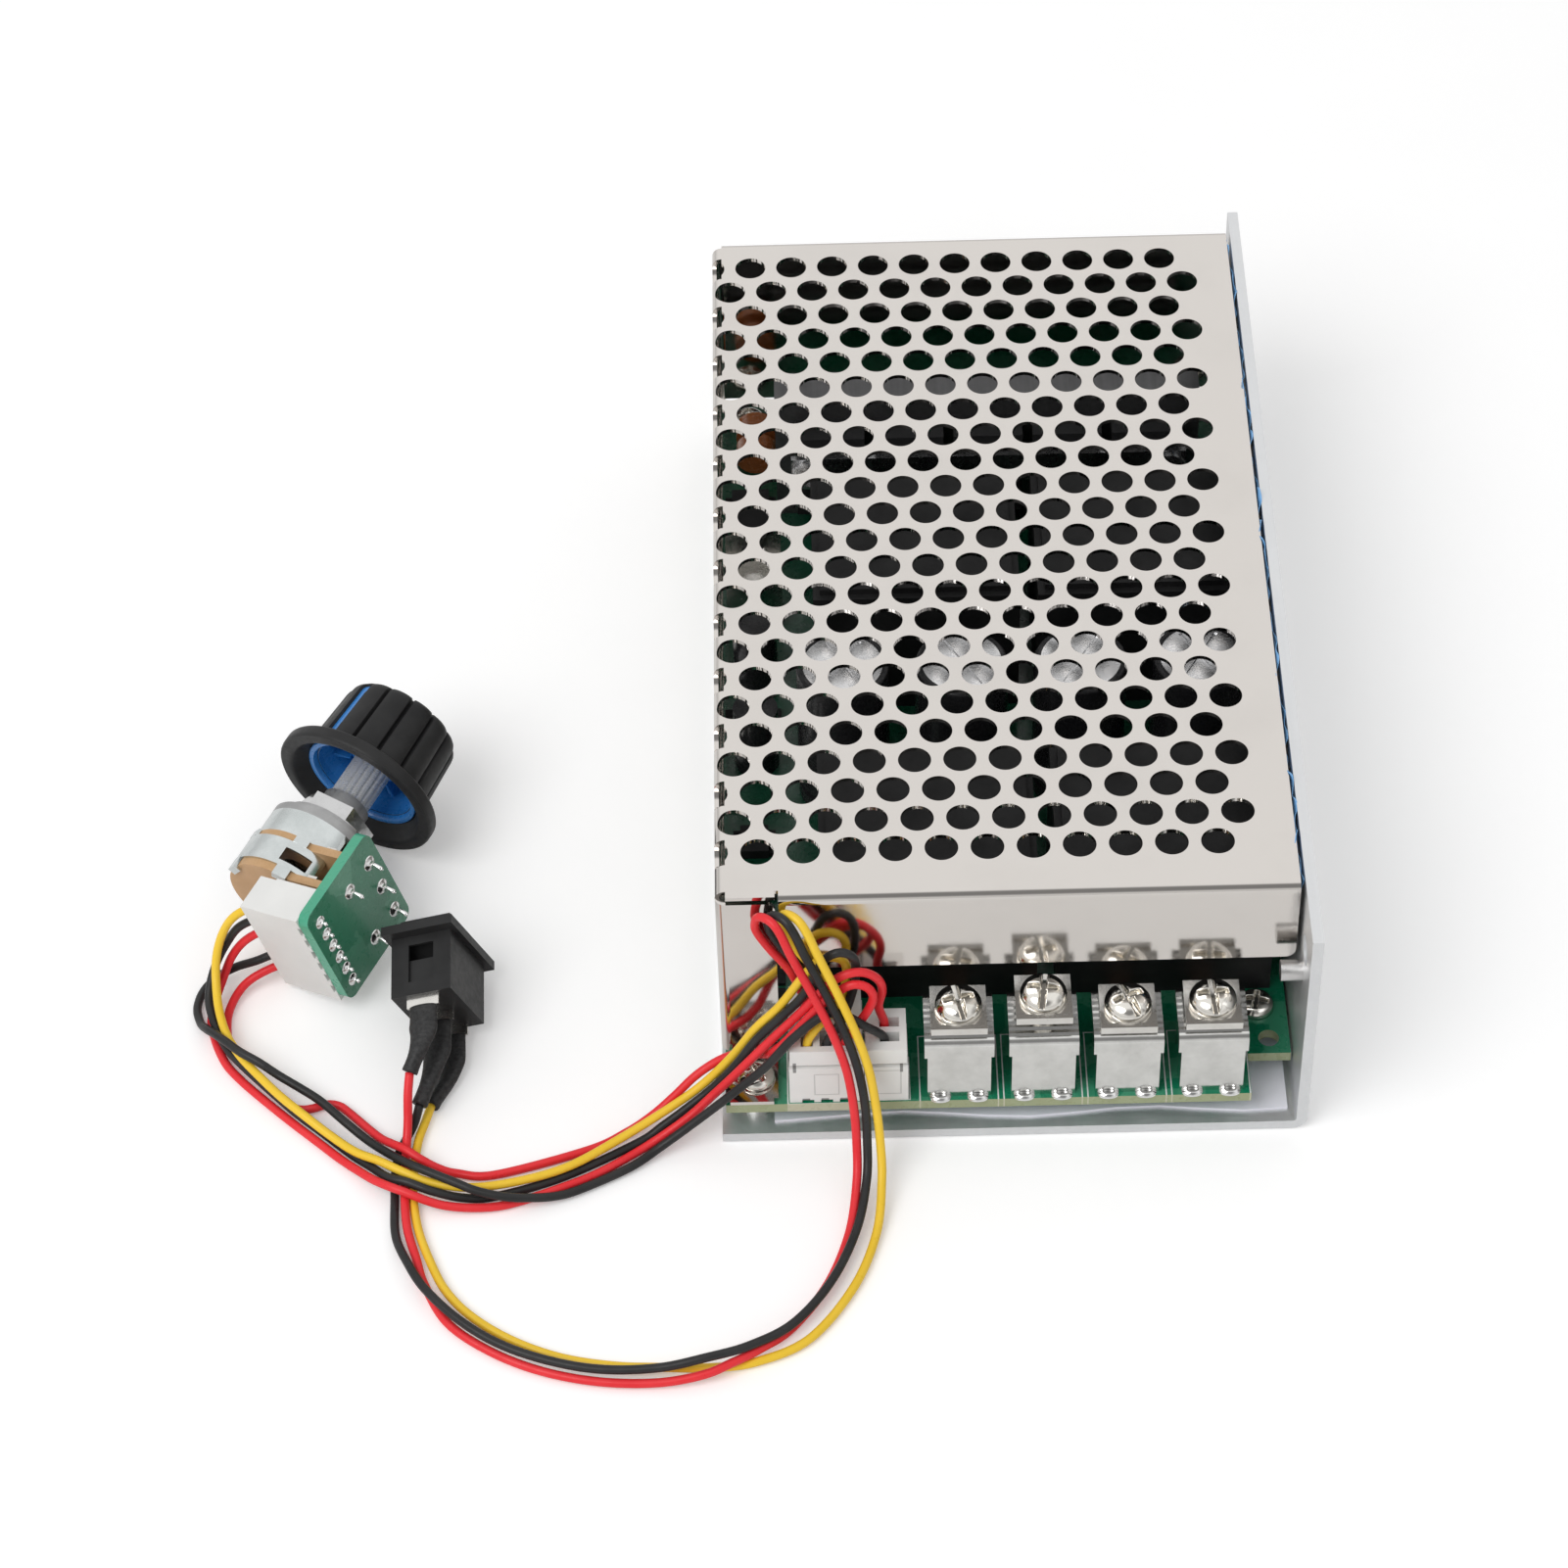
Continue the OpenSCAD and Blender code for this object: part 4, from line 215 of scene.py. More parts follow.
class ControllerSizes(bpy.types.PropertyGroup):
    """Sizes of the fine pieces."""

    lead_width: length_setting("Lead width", "Outside diameter of one lead", .0012, .0008, .002)
    lead_sides: IntProperty(
        name="Lead sides", description="Flats around one lead", default=16, min=8, max=32)
    sleeve_wide: length_setting(
        "Sleeve width", "Half the width of a sleeve over its flat lug", .00195, .0012, .003)
    sleeve_thin: length_setting(
        "Sleeve thickness", "Half the thickness of a sleeve over its flat lug",
        .0008, .0005, .0015)
    sleeve_end: length_setting(
        "Sleeve end", "Radius of a sleeve where the lead leaves it", .00105, .0008, .0015)
    solder_width: length_setting(
        "Solder width", "Radius of one solder joint on the board", .0012, .0006, .002)


class ControllerColours(bpy.types.PropertyGroup):
    """Colours that a user would change."""

    red: colour_setting("Red lead", "Vinyl of the red leads", (.86, .012, .022))
    yellow: colour_setting("Yellow lead", "Vinyl of the yellow leads", (.96, .62, .022))
    black: colour_setting("Black lead", "Vinyl of the black leads", (.008, .008, .0085))
    steel: colour_setting("Cover steel", "Polished stainless sheet of the cover", (.70, .665, .63))
    aluminium: colour_setting("Plate aluminium", "Satin sheet of the base plate", (.74, .75, .76))
    board: colour_setting("Board green", "Solder mask of the boards", (.004, .24, .115))
    knob: colour_setting("Knob black", "Moulded skirt and grip of the knob", (.006, .006, .0065))
    insert: colour_setting("Knob blue", "Moulded insert and pointer of the knob", (.012, .21, .62))


class ControllerStudio(bpy.types.PropertyGroup):
    """Light and floor."""

    sky: FloatProperty(
        name="Room light", description="Strength of the even light on matt surfaces",
        default=.62, min=0, max=2)
    lamp: FloatProperty(
        name="Lamp", description="Power of the soft lamp over the front left",
        default=11, min=0, max=100, unit="POWER")
    floor_size: FloatProperty(
        name="Floor size", description="Width of the pale floor", default=8, min=1, max=40,
        unit="LENGTH")


# ---------------------------------------------------------------- shader sums


class Tap:
    """One output of a shader node, which can stand in a sum."""

    def __init__(self, graph, socket):
        self.graph = graph
        self.socket = socket

    def _sum(self, how, first, second=0.0):
        return self.graph.node("ShaderNodeMath", {"operation": how}, {0: first, 1: second})

    def __add__(self, other):
        return self._sum("ADD", self, other)

    __radd__ = __add__

    def __sub__(self, other):
        return self._sum("SUBTRACT", self, other)

    def __rsub__(self, other):
        return self._sum("SUBTRACT", other, self)

    def __mul__(self, other):
        return self._sum("MULTIPLY", self, other)

    __rmul__ = __mul__

    def __gt__(self, other):
        return self._sum("GREATER_THAN", self, other)

    def __lt__(self, other):
        return self._sum("LESS_THAN", self, other)

    def __abs__(self):
        return self._sum("ABSOLUTE", self)


class Graph:
    """A tree of shader nodes."""

    def __init__(self, tree):
        self.tree = tree
        self.tree.nodes.clear()

    def node(self, kind, settings=None, sockets=None, out=0):
        """Adds a node: its settings first, then the values or links of its sockets."""
        made = self.tree.nodes.new(kind)
        for key, value in (settings or {}).items():
            if key == "stops":
                ramp = made.color_ramp
                while len(ramp.elements) < len(value):
                    ramp.elements.new(1.0)
                for element, (place, colour) in zip(ramp.elements, value):
                    element.position = place
                    element.color = (*colour, 1.0)
            else:
                setattr(made, key, value)
        for key, value in (sockets or {}).items():
            self.feed(made.inputs[key], value)
        return Tap(self, made.outputs[out]) if len(made.outputs) else made

    def feed(self, socket, value):
        """Links a tap to a socket, or sets a plain number or colour on it."""
        if isinstance(value, Tap):
            self.tree.links.new(value.socket, socket)
        elif hasattr(value, "__len__"):
            whole = len(value) == len(socket.default_value)
            socket.default_value = value if whole else (*value, 1.0)
        else:
            socket.default_value = value

    def fit(self, value, low, high, to_low, to_high):
        """Carries a value from one span to another and stops at its ends."""
        return self.node("ShaderNodeMapRange", {"clamp": True}, {
            0: value, 1: low, 2: high, 3: to_low, 4: to_high})


class Finish(Graph):
    """A node material on one Principled shader."""

    def __init__(self, name):
        self.material = bpy.data.materials.new(name)
        self.material.use_nodes = True
        super().__init__(self.material.node_tree)
        self.out = self.tree.nodes.new("ShaderNodeOutputMaterial")
        self.shader = self.tree.nodes.new("ShaderNodeBsdfPrincipled")
        self.tree.links.new(self.shader.outputs[0], self.out.inputs[0])

    def set(self, **values):
        """Sets or links the shader's sockets, named with _ for a space."""
        for key, value in values.items():
            self.feed(self.shader.inputs[key.replace("_", " ")], value)
        return self

    def place(self):
        """Where a point is on the object, in metres."""
        return self.node("ShaderNodeTexCoord", out="Object")

    def axes(self):
        """The three coordinates of a point, in metres, as separate numbers."""
        split = self.node("ShaderNodeSeparateXYZ", None, {0: self.place()})
        return [Tap(self, end) for end in split.socket.node.outputs]

    def stretched(self, x, y, z):
        """The place, with each axis stretched by a number."""
        return self.node("ShaderNodeVectorMath", {"operation": "MULTIPLY"},
                         {0: self.place(), 1: (x, y, z)})

    def noise(self, size, detail, rough=.5, at=None):
        """Smooth noise from 0 to 1 whose grains are about size metres wide."""
        return self.node("ShaderNodeTexNoise", None, {
            "Vector": at or self.place(), "Scale": 1.0 / size, "Detail": detail,
            "Roughness": rough})

    def mixed(self, share, first, second):
        """Colour between two others."""
        return self.node("ShaderNodeMix", {"data_type": "RGBA"},
                         {0: share, 6: first, 7: second}, out=2)

    def outside(self, along, up, at_along, at_up, half_long, half_high):
        """How far a point is outside a box: the greater of |p - middle| - half, each way."""
        return self.node("ShaderNodeMath", {"operation": "MAXIMUM"},
                         {0: abs(along - at_along) - half_long, 1: abs(up - at_up) - half_high})

    def bump(self, height, depth, strength=1.0, under=None):
        """Relief from a height between 0 and 1, depth metres high."""
        sockets = {"Height": height, "Distance": depth, "Strength": strength}
        if under is not None:
            sockets["Normal"] = under
        return self.node("ShaderNodeBump", None, sockets)


def lighter(colour, by):
    """The colour carried towards white by a share."""
    return tuple(c + (1 - c) * by for c in colour)


def darker(colour, by):
    """The colour carried towards black by a share."""
    return tuple(c * (1 - by) for c in colour)


def moulded(name, colour, rough, grain=.00018, depth=.000006, clear=0.0, shine=.5):
    """Moulded plastic: fine spark grain, faint flow marks and dust that dulls the gloss."""
    f = Finish(name)
    flow = f.noise(.006, 3)
    dust = f.noise(.0011, 4, .7)
    fine = f.noise(grain, 1)
    f.set(Base_Color=f.mixed(flow, darker(colour, .14), lighter(colour, .035)),
          Roughness=f.fit(dust, .3, .75, rough - .07, rough + .12),
          Normal=f.bump(fine, depth), Coat_Weight=clear, Coat_Roughness=.12,
          Specular_IOR_Level=shine)
    return f


def plated(name, colour, rough, ripple=.0012, depth=.00001, tarnish=.12):
    """Bright plating: small ripples, a little tarnish in patches, and finer scratches."""
    f = Finish(name)
    wave = f.noise(ripple, 2)
    patch = f.noise(.0035, 4, .65)
    scratch = f.noise(.0009, 2, .6, f.stretched(1, 9, 1))
    f.set(Metallic=1.0,
          Base_Color=f.mixed(f.fit(patch, .35, .75, 0, 1),
                             lighter(colour, .1), darker(colour, tarnish)),
          Roughness=f.fit(patch * .6 + scratch * .4, .3, .7, rough * .7, rough * 1.5),
          Normal=f.bump(wave, depth))
    return f


def polished_sheet(name, colour):
    """Mirror polished stainless sheet: faint waves from rolling, hairlines and handling marks."""
    f = Finish(name)
    wave = f.noise(.022, 1)
    hair = f.noise(.0011, 2, .6, f.stretched(40, 1, 1))
    smudge = f.noise(.018, 5, .62)
    speck = f.noise(.0016, 3, .6)
    marks = f.fit(smudge, .5, .78, 0, 1)
    f.set(Metallic=1.0,
          Base_Color=f.mixed(marks, colour, darker(colour, .05)),
          Roughness=f.fit(smudge * .7 + speck * .3, .36, .72, .055, .15),
          Normal=f.bump(hair, .0000011, 1, f.bump(wave, .000035)))
    return f


def satin_sheet(name, colour):
    """Satin aluminium sheet: rolling lines along Y, mottled tone and small nicks."""
    f = Finish(name)
    lines = f.noise(.0006, 3, .6, f.stretched(1, .03, 1))
    mottle = f.noise(.007, 4, .6)
    nick = f.noise(.0007, 2, .5)
    f.set(Metallic=.82,
          Base_Color=f.mixed(mottle * .6 + lines * .4,
                             darker(colour, .13), lighter(colour, .2)),
          Roughness=f.fit(mottle * .4 + nick * .6, .3, .7, .33, .5),
          Normal=f.bump(lines * .6 + nick * .4, .000012))
    return f


def vinyl(name, colour, shine):
    """Extruded vinyl: even colour with faint darker bands, waxy gloss and soft dents."""
    f = Finish(name)
    dent = f.noise(.0014, 2)
    band = f.noise(.007, 3, .6)
    f.set(Base_Color=f.mixed(band, darker(colour, .16), lighter(colour, .04)),
          Roughness=f.fit(dent, .3, .7, .27, .42),
          Normal=f.bump(dent, .00002), Specular_IOR_Level=shine)
    return f


def masked_board(name, colour, edge, printed=(), across=(0, 0, 1), painted_shade=0.0):
    """Solder mask over copper: tracks show as paler green, with white print as thin outlines.

    The sawn edges, where the face's normal lies level with the board, have the edge colour.
    printed holds (x, y, half width, half depth) boxes in metres, drawn as lines. The last argument
    is how much darker the part under the cover is painted: painted shade for the cover's shadow on
    the board."""
    f = Finish(name)
    x, y, _ = f.axes()
    cells = f.node("ShaderNodeTexVoronoi", {"feature": "F1", "distance": "CHEBYCHEV"},
                   {"Vector": f.place(), "Scale": 260.0, "Randomness": .75}, out="Color")
    track = f.node("ShaderNodeSeparateColor", None, {0: cells}) > .55
    mottle = f.noise(.0012, 3)
    green = f.mixed(track * .75, darker(colour, .22), lighter(colour, .05))
    green = f.mixed(mottle * .25, green, darker(colour, .35))
    # Painted shade: the board is painted darker green under the cover, where the cover keeps the
    # light off.
    if painted_shade:
        green = f.mixed(f.fit(y, -.0515, -.0415, 0, painted_shade), green, darker(colour, .92))
    line = None
    for px, py, half_wide, half_deep in printed:
        one = abs(f.outside(x, y, px, py, half_wide, half_deep)) < PRINT_HALF
        line = one if line is None else line + one
    if line is not None:
        green = f.mixed(f.fit(line, 0, 1, 0, 1), green, (.78, .8, .78))
    level = f.node("ShaderNodeVectorMath", {"operation": "DOT_PRODUCT"}, {
        0: f.node("ShaderNodeNewGeometry", out="Normal"), 1: tuple(across)}, out="Value")
    green = f.mixed((abs(level) < .3) * .75, green, edge)
    f.set(Base_Color=green, Roughness=f.fit(mottle, .3, .7, .24, .36),
          Normal=f.bump(track, .00002), Coat_Weight=.35, Coat_Roughness=.1)
    return f


def nylon_housing(name, colour, marks, front):
    """White nylon housings with sunk marks on their front faces.

    marks holds (x, z, half width, half height, tone) boxes in metres, on faces nearer than front. A
    mark of tone .5 or more is filled, and a paler one is an outline. Each mark is painted darker by
    its tone: painted shade in the sunk slots, grooves and holes, over the bump that sinks them."""
    f = Finish(name)
    x, y, z = f.axes()
    flow = f.noise(.004, 3)
    fine = f.noise(.0004, 1)
    tint = f.mixed(flow, darker(colour, .1), lighter(colour, .03))
    sunk = None
    for px, pz, half_wide, half_high, tone in marks:
        off = f.outside(x, z, px, pz, half_wide, half_high)
        line = (abs(off) < PANEL_LINE_HALF if tone < .5 else off < 0) * (y < front)
        # Painted shade: the mark's recess is painted darker by its tone.
        tint = f.mixed(line * tone, tint, darker(colour, .75))
        sunk = line if sunk is None else sunk + line
    f.set(Base_Color=tint, Roughness=f.fit(fine, .3, .7, .38, .5),
          Normal=f.bump(sunk, -.00012, 1, f.bump(fine, .000006)))
    return f


def pressed_laminate(name, colour):
    """Resin laminate wafer: paper fibres in two tones, and a dry sheen."""
    f = Finish(name)
    fibre = f.noise(.0005, 4, .7, f.stretched(1, 1, 5))
    blotch = f.noise(.003, 3)
    f.set(Base_Color=f.mixed(fibre * .6 + blotch * .4, darker(colour, .35), lighter(colour, .18)),
          Roughness=f.fit(fibre, .3, .7, .38, .55), Normal=f.bump(fibre, .00001))
    return f


def shrunk_tube(name, colour):
    """Heat shrunk tube: dull skin with small puckers across it."""
    f = Finish(name)
    pucker = f.noise(.0013, 3, .6, f.stretched(1, 2.2, 1))
    dust = f.noise(.0005, 2)
    f.set(Base_Color=f.mixed(dust, darker(colour, .2), lighter(colour, .05)),
          Roughness=f.fit(pucker, .3, .7, .38, .55), Normal=f.bump(pucker, .00012),
          Specular_IOR_Level=.22)
    return f


def cast_metal(name, colour):
    """Die cast zinc: grey skin with fine pits."""
    f = Finish(name)
    pit = f.noise(.00035, 3, .6)
    tone = f.noise(.002, 3)
    f.set(Metallic=.9, Base_Color=f.mixed(tone, darker(colour, .25), lighter(colour, .08)),
          Roughness=f.fit(pit, .3, .7, .36, .52), Normal=f.bump(pit, .00002))
    return f


def thin_film(name, colour):
    """Leftover protective film: thin blue skin with crinkles."""
    f = Finish(name)
    crinkle = f.noise(.0016, 4, .7)
    f.set(Base_Color=f.mixed(crinkle, darker(colour, .3), lighter(colour, .35)),
          Roughness=f.fit(crinkle, .3, .7, .3, .5), Normal=f.bump(crinkle, .0001))
    return f


def paper_sheet(name, colour):
    """Insulating sheet: milky film with faint clouds."""
    f = Finish(name)
    cloud = f.noise(.004, 4)
    f.set(Base_Color=f.mixed(cloud, darker(colour, .05), colour),
          Roughness=f.fit(cloud, .3, .7, .4, .6), Normal=f.bump(cloud, .00005))
    return f


FINISHES = {}


def finish(slot):
    """The material for one of the record's slots, made when it is first asked for."""
    if slot not in FINISHES:
        tone = bpy.context.scene.controller_colours
        makers = {
            "plate": lambda n: satin_sheet(n, tone.aluminium),
            "stud": lambda n: plated(n, (.62, .61, .6), .3),
            "sheet": lambda n: paper_sheet(n, (.86, .86, .93)),
            "spacer": lambda n: plated(n, (.66, .65, .62), .2),
            # Painted shade: the main board is painted darker under the cover, for the cover's
            # shadow.
            "board": lambda n: masked_board(n, tone.board, (.42, .40, .22), BOARD_PRINT,
                                            painted_shade=.75),
            "control_board": lambda n: masked_board(n, lighter(tone.board, .06), (.05, .4, .24),
                                                    across=POT_ACROSS.tolist()),
            "screw_steel": lambda n: plated(n, (.79, .76, .7), .12),
            "cover": lambda n: polished_sheet(n, tone.steel),
            "film": lambda n: thin_film(n, (.03, .4, .9)),
            # Painted shade: the aluminium bar is painted near black, for the shade under the cover.
            "bar_aluminium": lambda n: satin_sheet(n, (.1, .1, .105)),
            "black_resin": lambda n: moulded(n, (.008, .008, .009), .5, .0003, shine=.15),
            "spring_steel": lambda n: plated(n, (.6, .6, .61), .25),
            "capacitor_sleeve": lambda n: moulded(n, (.006, .006, .008), .25, .0006, .00001,
                                                  .15, .2),
            "capacitor_can": lambda n: plated(n, (.75, .75, .76), .24),
            "black_plastic": lambda n: moulded(n, (.005, .005, .0055), .38, shine=.2),
            "tinned_metal": lambda n: plated(n, (.75, .73, .69), .22),
            "orange_resin": lambda n: moulded(n, (.33, .09, .012), .25, .0006, .00002, .2),
            # The discs are orange, and painted darker than their own orange as painted shade under
            # the cover.
            "copper": lambda n: plated(n, (.8, .42, .22), .3),
            "terminal_metal": lambda n: plated(n, (.72, .715, .69), .15, .0035, .00006, .16),
            "washer_steel": lambda n: plated(n, (.74, .72, .68), .2),
            "solder": lambda n: plated(n, (.8, .8, .79), .14, .0009, .00004),
            "white_nylon": lambda n: moulded(n, (.84, .84, .82), .42, .0004),
            "housing_nylon": lambda n: nylon_housing(n, (.84, .84, .82), HOUSING_MARKS,
                                                     CONNECTOR_FRONT),
            "pot_shell": lambda n: plated(n, (.63, .67, .665), .2),
            "tan_laminate": lambda n: pressed_laminate(n, (.62, .33, .1)),
            "cast_nose": lambda n: cast_metal(n, (.42, .42, .42)),
            "chrome_nut": lambda n: plated(n, (.6, .6, .6), .1),
            "shaft_metal": lambda n: plated(n, (.68, .68, .67), .25).set(Metallic=.4),
            "knob_plastic": lambda n: moulded(n, tone.knob, .42, .00025, .00001, shine=.2),
            "blue_plastic": lambda n: moulded(n, tone.insert, .28, .0005, .000006, .2),
            "shrink_sleeve": lambda n: shrunk_tube(n, (.008, .008, .0085)),
            "lead_red": lambda n: vinyl(n, tone.red, .3),
            "lead_black": lambda n: vinyl(n, tone.black, .22),
            "lead_yellow": lambda n: vinyl(n, tone.yellow, .3),
        }
        FINISHES[slot] = makers[slot](slot.replace("_", " ") + " finish").material
    return FINISHES[slot]


# White print round the terminals and the connectors on the main board, as boxes in metres.
PRINT_HALF = .00009
BOARD_PRINT = tuple((x, -.0646, .0052, .0056) for x in TERMINAL_X) + (
    (-.02495, -.06693, .0052, .0031), (-.02495, -.06108, .0052, .003),
    (-.01703, -.0661, .0031, .0036))

# Marks on the two front connectors: sunk slots, panel lines and pin-foot holes, in painted shade.
PANEL_LINE_HALF = .00008
CONNECTOR_FRONT = -.0685
HOUSING_MARKS = (
    (-.02915, .0136, .00022, .0009, .9), (-.02495, .0101, .0016, .0021, .35),
    (-.0277, .0068, .0005, .0004, .95), (-.0252, .0068, .0005, .0004, .95),
    (-.0227, .0068, .0005, .0004, .95), (-.01505, .0132, .0002, .0008, .9),
    (-.01703, .0103, .0019, .0024, .35),
)


def dress(*names, **instead):
    """Gives CAD nodes the finishes of their own slots, or of another key for a slot."""
    for name in names:
        for held in NODES[name].material_slots:
            held.material = finish(instead.get(held.material.name, held.material.name))


# ---------------------------------------------------------------- surfaces


def new_piece(name, body, slot, points, faces, smooth=True):
    """Puts an array of points and an array of quads, or lists of faces, in a piece on a body."""
    mesh = bpy.data.meshes.new(name)
    mesh.from_pydata(np.asarray(points, float).reshape(-1, 3).tolist(), [],
                     [list(face) for face in faces])
    mesh.polygons.foreach_set("use_smooth", np.full(len(mesh.polygons), smooth))
    mesh.materials.append(finish(slot))
    mesh.validate()
    mesh.update()
    piece = bpy.data.objects.new(name, mesh)
    bpy.context.collection.objects.link(piece)
    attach(piece, body)
    return piece


def skin(rows, columns, closed=True):
    """Quads over a grid of rows by columns; closed joins the last column to the first."""
    across = columns if closed else columns - 1
    r, c = np.meshgrid(np.arange(rows - 1), np.arange(across), indexing="ij")
    d = (c + 1) % columns
    near, far = r * columns, (r + 1) * columns
    quads = np.stack((near + c, near + d, far + d, far + c), -1)
    return quads.reshape(-1, 4).tolist()


def capped(rows, columns):
    """The closed skin with a flat many-sided face over each end."""
    first = list(range(columns))[::-1]
    last = list(range((rows - 1) * columns, rows * columns))
    return skin(rows, columns) + [first, last]


def eased(points, step):
    """Points about step apart on an even Catmull-Rom curve.

    Between two points the place is half of 2b + (c-a)t + (2a-5b+4c-d)t^2 + (3b-a-3c+d)t^3."""
    p = np.asarray(points, float)
    p = np.vstack((2 * p[0] - p[1], p, 2 * p[-1] - p[-2]))
    a, b, c, d = p[:-3], p[1:-2], p[2:-1], p[3:]
    count = max(2, int(math.ceil(np.linalg.norm(c - b, axis=1).max() / step)))
    t = (np.arange(count) / count)[None, :, None]
    a, b, c, d = (q[:, None, :] for q in (a, b, c, d))
    run = .5 * (2 * b + (c - a) * t + (2 * a - 5 * b + 4 * c - d) * t ** 2
                + (3 * b - a - 3 * c + d) * t ** 3)
    return np.vstack((run.reshape(-1, 3), p[-2:-1]))


def spaced(run, step):
    """The same curve with stations at equal distances along it."""
    along = np.concatenate(([0], np.cumsum(np.linalg.norm(np.diff(run, axis=0), axis=1))))
    count = max(4, int(round(along[-1] / step)))
    at = np.linspace(0, along[-1], count + 1)
    return np.stack([np.interp(at, along, run[:, k]) for k in range(3)], 1), along[-1]


def headings(run):
    """Unit direction of travel at each station."""
    way = np.gradient(run, axis=0)
    return way / np.linalg.norm(way, axis=1, keepdims=True)


def calm_side(way):
    """The direction, out of 400 spread evenly over a ball, that a run never nears.

    Number n of them has the height 1 - 2n/400 and is turned by n golden angles."""
    count = 400
    n = np.arange(count) + .5
    lift = 1 - 2 * n / count
    turn = n * math.pi * (1 + 5 ** .5)
    flat = np.sqrt(1 - lift ** 2)
    spread = np.stack((np.cos(turn) * flat, np.sin(turn) * flat, lift), 1)
    return spread[np.abs(spread @ way.T).max(axis=1).argmin()]


def tube(run, wide, thin, sides, side=None):
    """Rings around a run: station + wide cos(a) u + thin sin(a) v.

    u lies across the run and away from the side direction, and v is square to both."""
    way = headings(run)
    side = calm_side(way) if side is None else np.asarray(side, float)
    v = np.cross(way, side)
    v /= np.linalg.norm(v, axis=1, keepdims=True)
    u = np.cross(v, way)
    a = np.linspace(0, 2 * math.pi, sides, endpoint=False)[None, :, None]
    wide, thin = (np.broadcast_to(w, (len(run),))[:, None, None] for w in (wide, thin))
    return run[:, None] + wide * np.cos(a) * u[:, None] + thin * np.sin(a) * v[:, None]


def woven(parts):
    """Joins (points, faces) parts in one: each part's faces count on from the points before it."""
    starts = np.cumsum([0] + [len(points) for points, _ in parts[:-1]])
    faces = [[k + int(start) for k in face]
             for (_, made), start in zip(parts, starts) for face in made]
    return np.vstack([points for points, _ in parts]), faces


def turned(profile, sides, flute=None):
    """A profile of (radius, height) points carried round the Z axis.

    At turn a the point is ((radius - cut) cos a, (radius - cut) sin a, height), where cut is
    flute(a, radius, height). A radius of 0 at an end is a pole, closed by triangles."""
    r, z = np.asarray(profile, float).T[..., None]
    a = np.linspace(0, 2 * math.pi, sides, endpoint=False)[None]
    r, z, a = np.broadcast_arrays(r, z, a)
    cut = 0 if flute is None else flute(a, r, z)
    rings = np.stack(((r - cut) * np.cos(a), (r - cut) * np.sin(a), z), -1)
    top, end = rings[0, 0][2], rings[-1, 0][2]
    inner = rings[1:-1]
    rows = len(inner)
    points = np.vstack((inner.reshape(-1, 3), (0, 0, top), (0, 0, end)))
    k = np.arange(sides)
    n = (k + 1) % sides
    pole = np.full(sides, rows * sides)
    edge = (rows - 1) * sides
    first = np.stack((pole, k, n), 1)
    last = np.stack((pole + 1, n + edge, k + edge), 1)
    return points, skin(rows, sides) + first.tolist() + last.tolist()


def finer(profile, step):
    """The profile with its long straight runs cut in steps."""
    p = np.asarray(profile, float)
    out = [p[:1]]
    for a, b in zip(p[:-1], p[1:]):
        n = max(1, int(math.ceil(np.linalg.norm(b - a) / step)))
        out.append(a + (b - a) * (np.arange(1, n + 1) / n)[:, None])
    return np.vstack(out)


def on_control(points, along):
    """Carries points to the control: its place + z axis + y across - x up, z counted from along."""
    x, y, z = (np.asarray(points, float) + (0, 0, along)).T
    return POT_AT + np.outer(z, POT_AXIS) + np.outer(y, POT_ACROSS) - np.outer(x, POT_UP)


def swung(points, angle):
    """Turns points about the Z axis: x cos - y sin, x sin + y cos."""
    x, y, z = points.T
    c, s = math.cos(angle), math.sin(angle)
    return np.stack((x * c - y * s, x * s + y * c, z), 1)


def upright(points, faces):
    """Turns every face over when the shell's volume, the sum of a . (b x c), is below zero."""
    fan = np.array([(f[0], f[i], f[i + 1]) for f in faces for i in range(1, len(f) - 1)])
    a, b, c = (points[fan[:, k]] - points.mean(0) for k in range(3))
    if np.einsum("ij,ij->i", a, np.cross(b, c)).sum() < 0:
        faces = [face[::-1] for face in faces]
    return points, faces


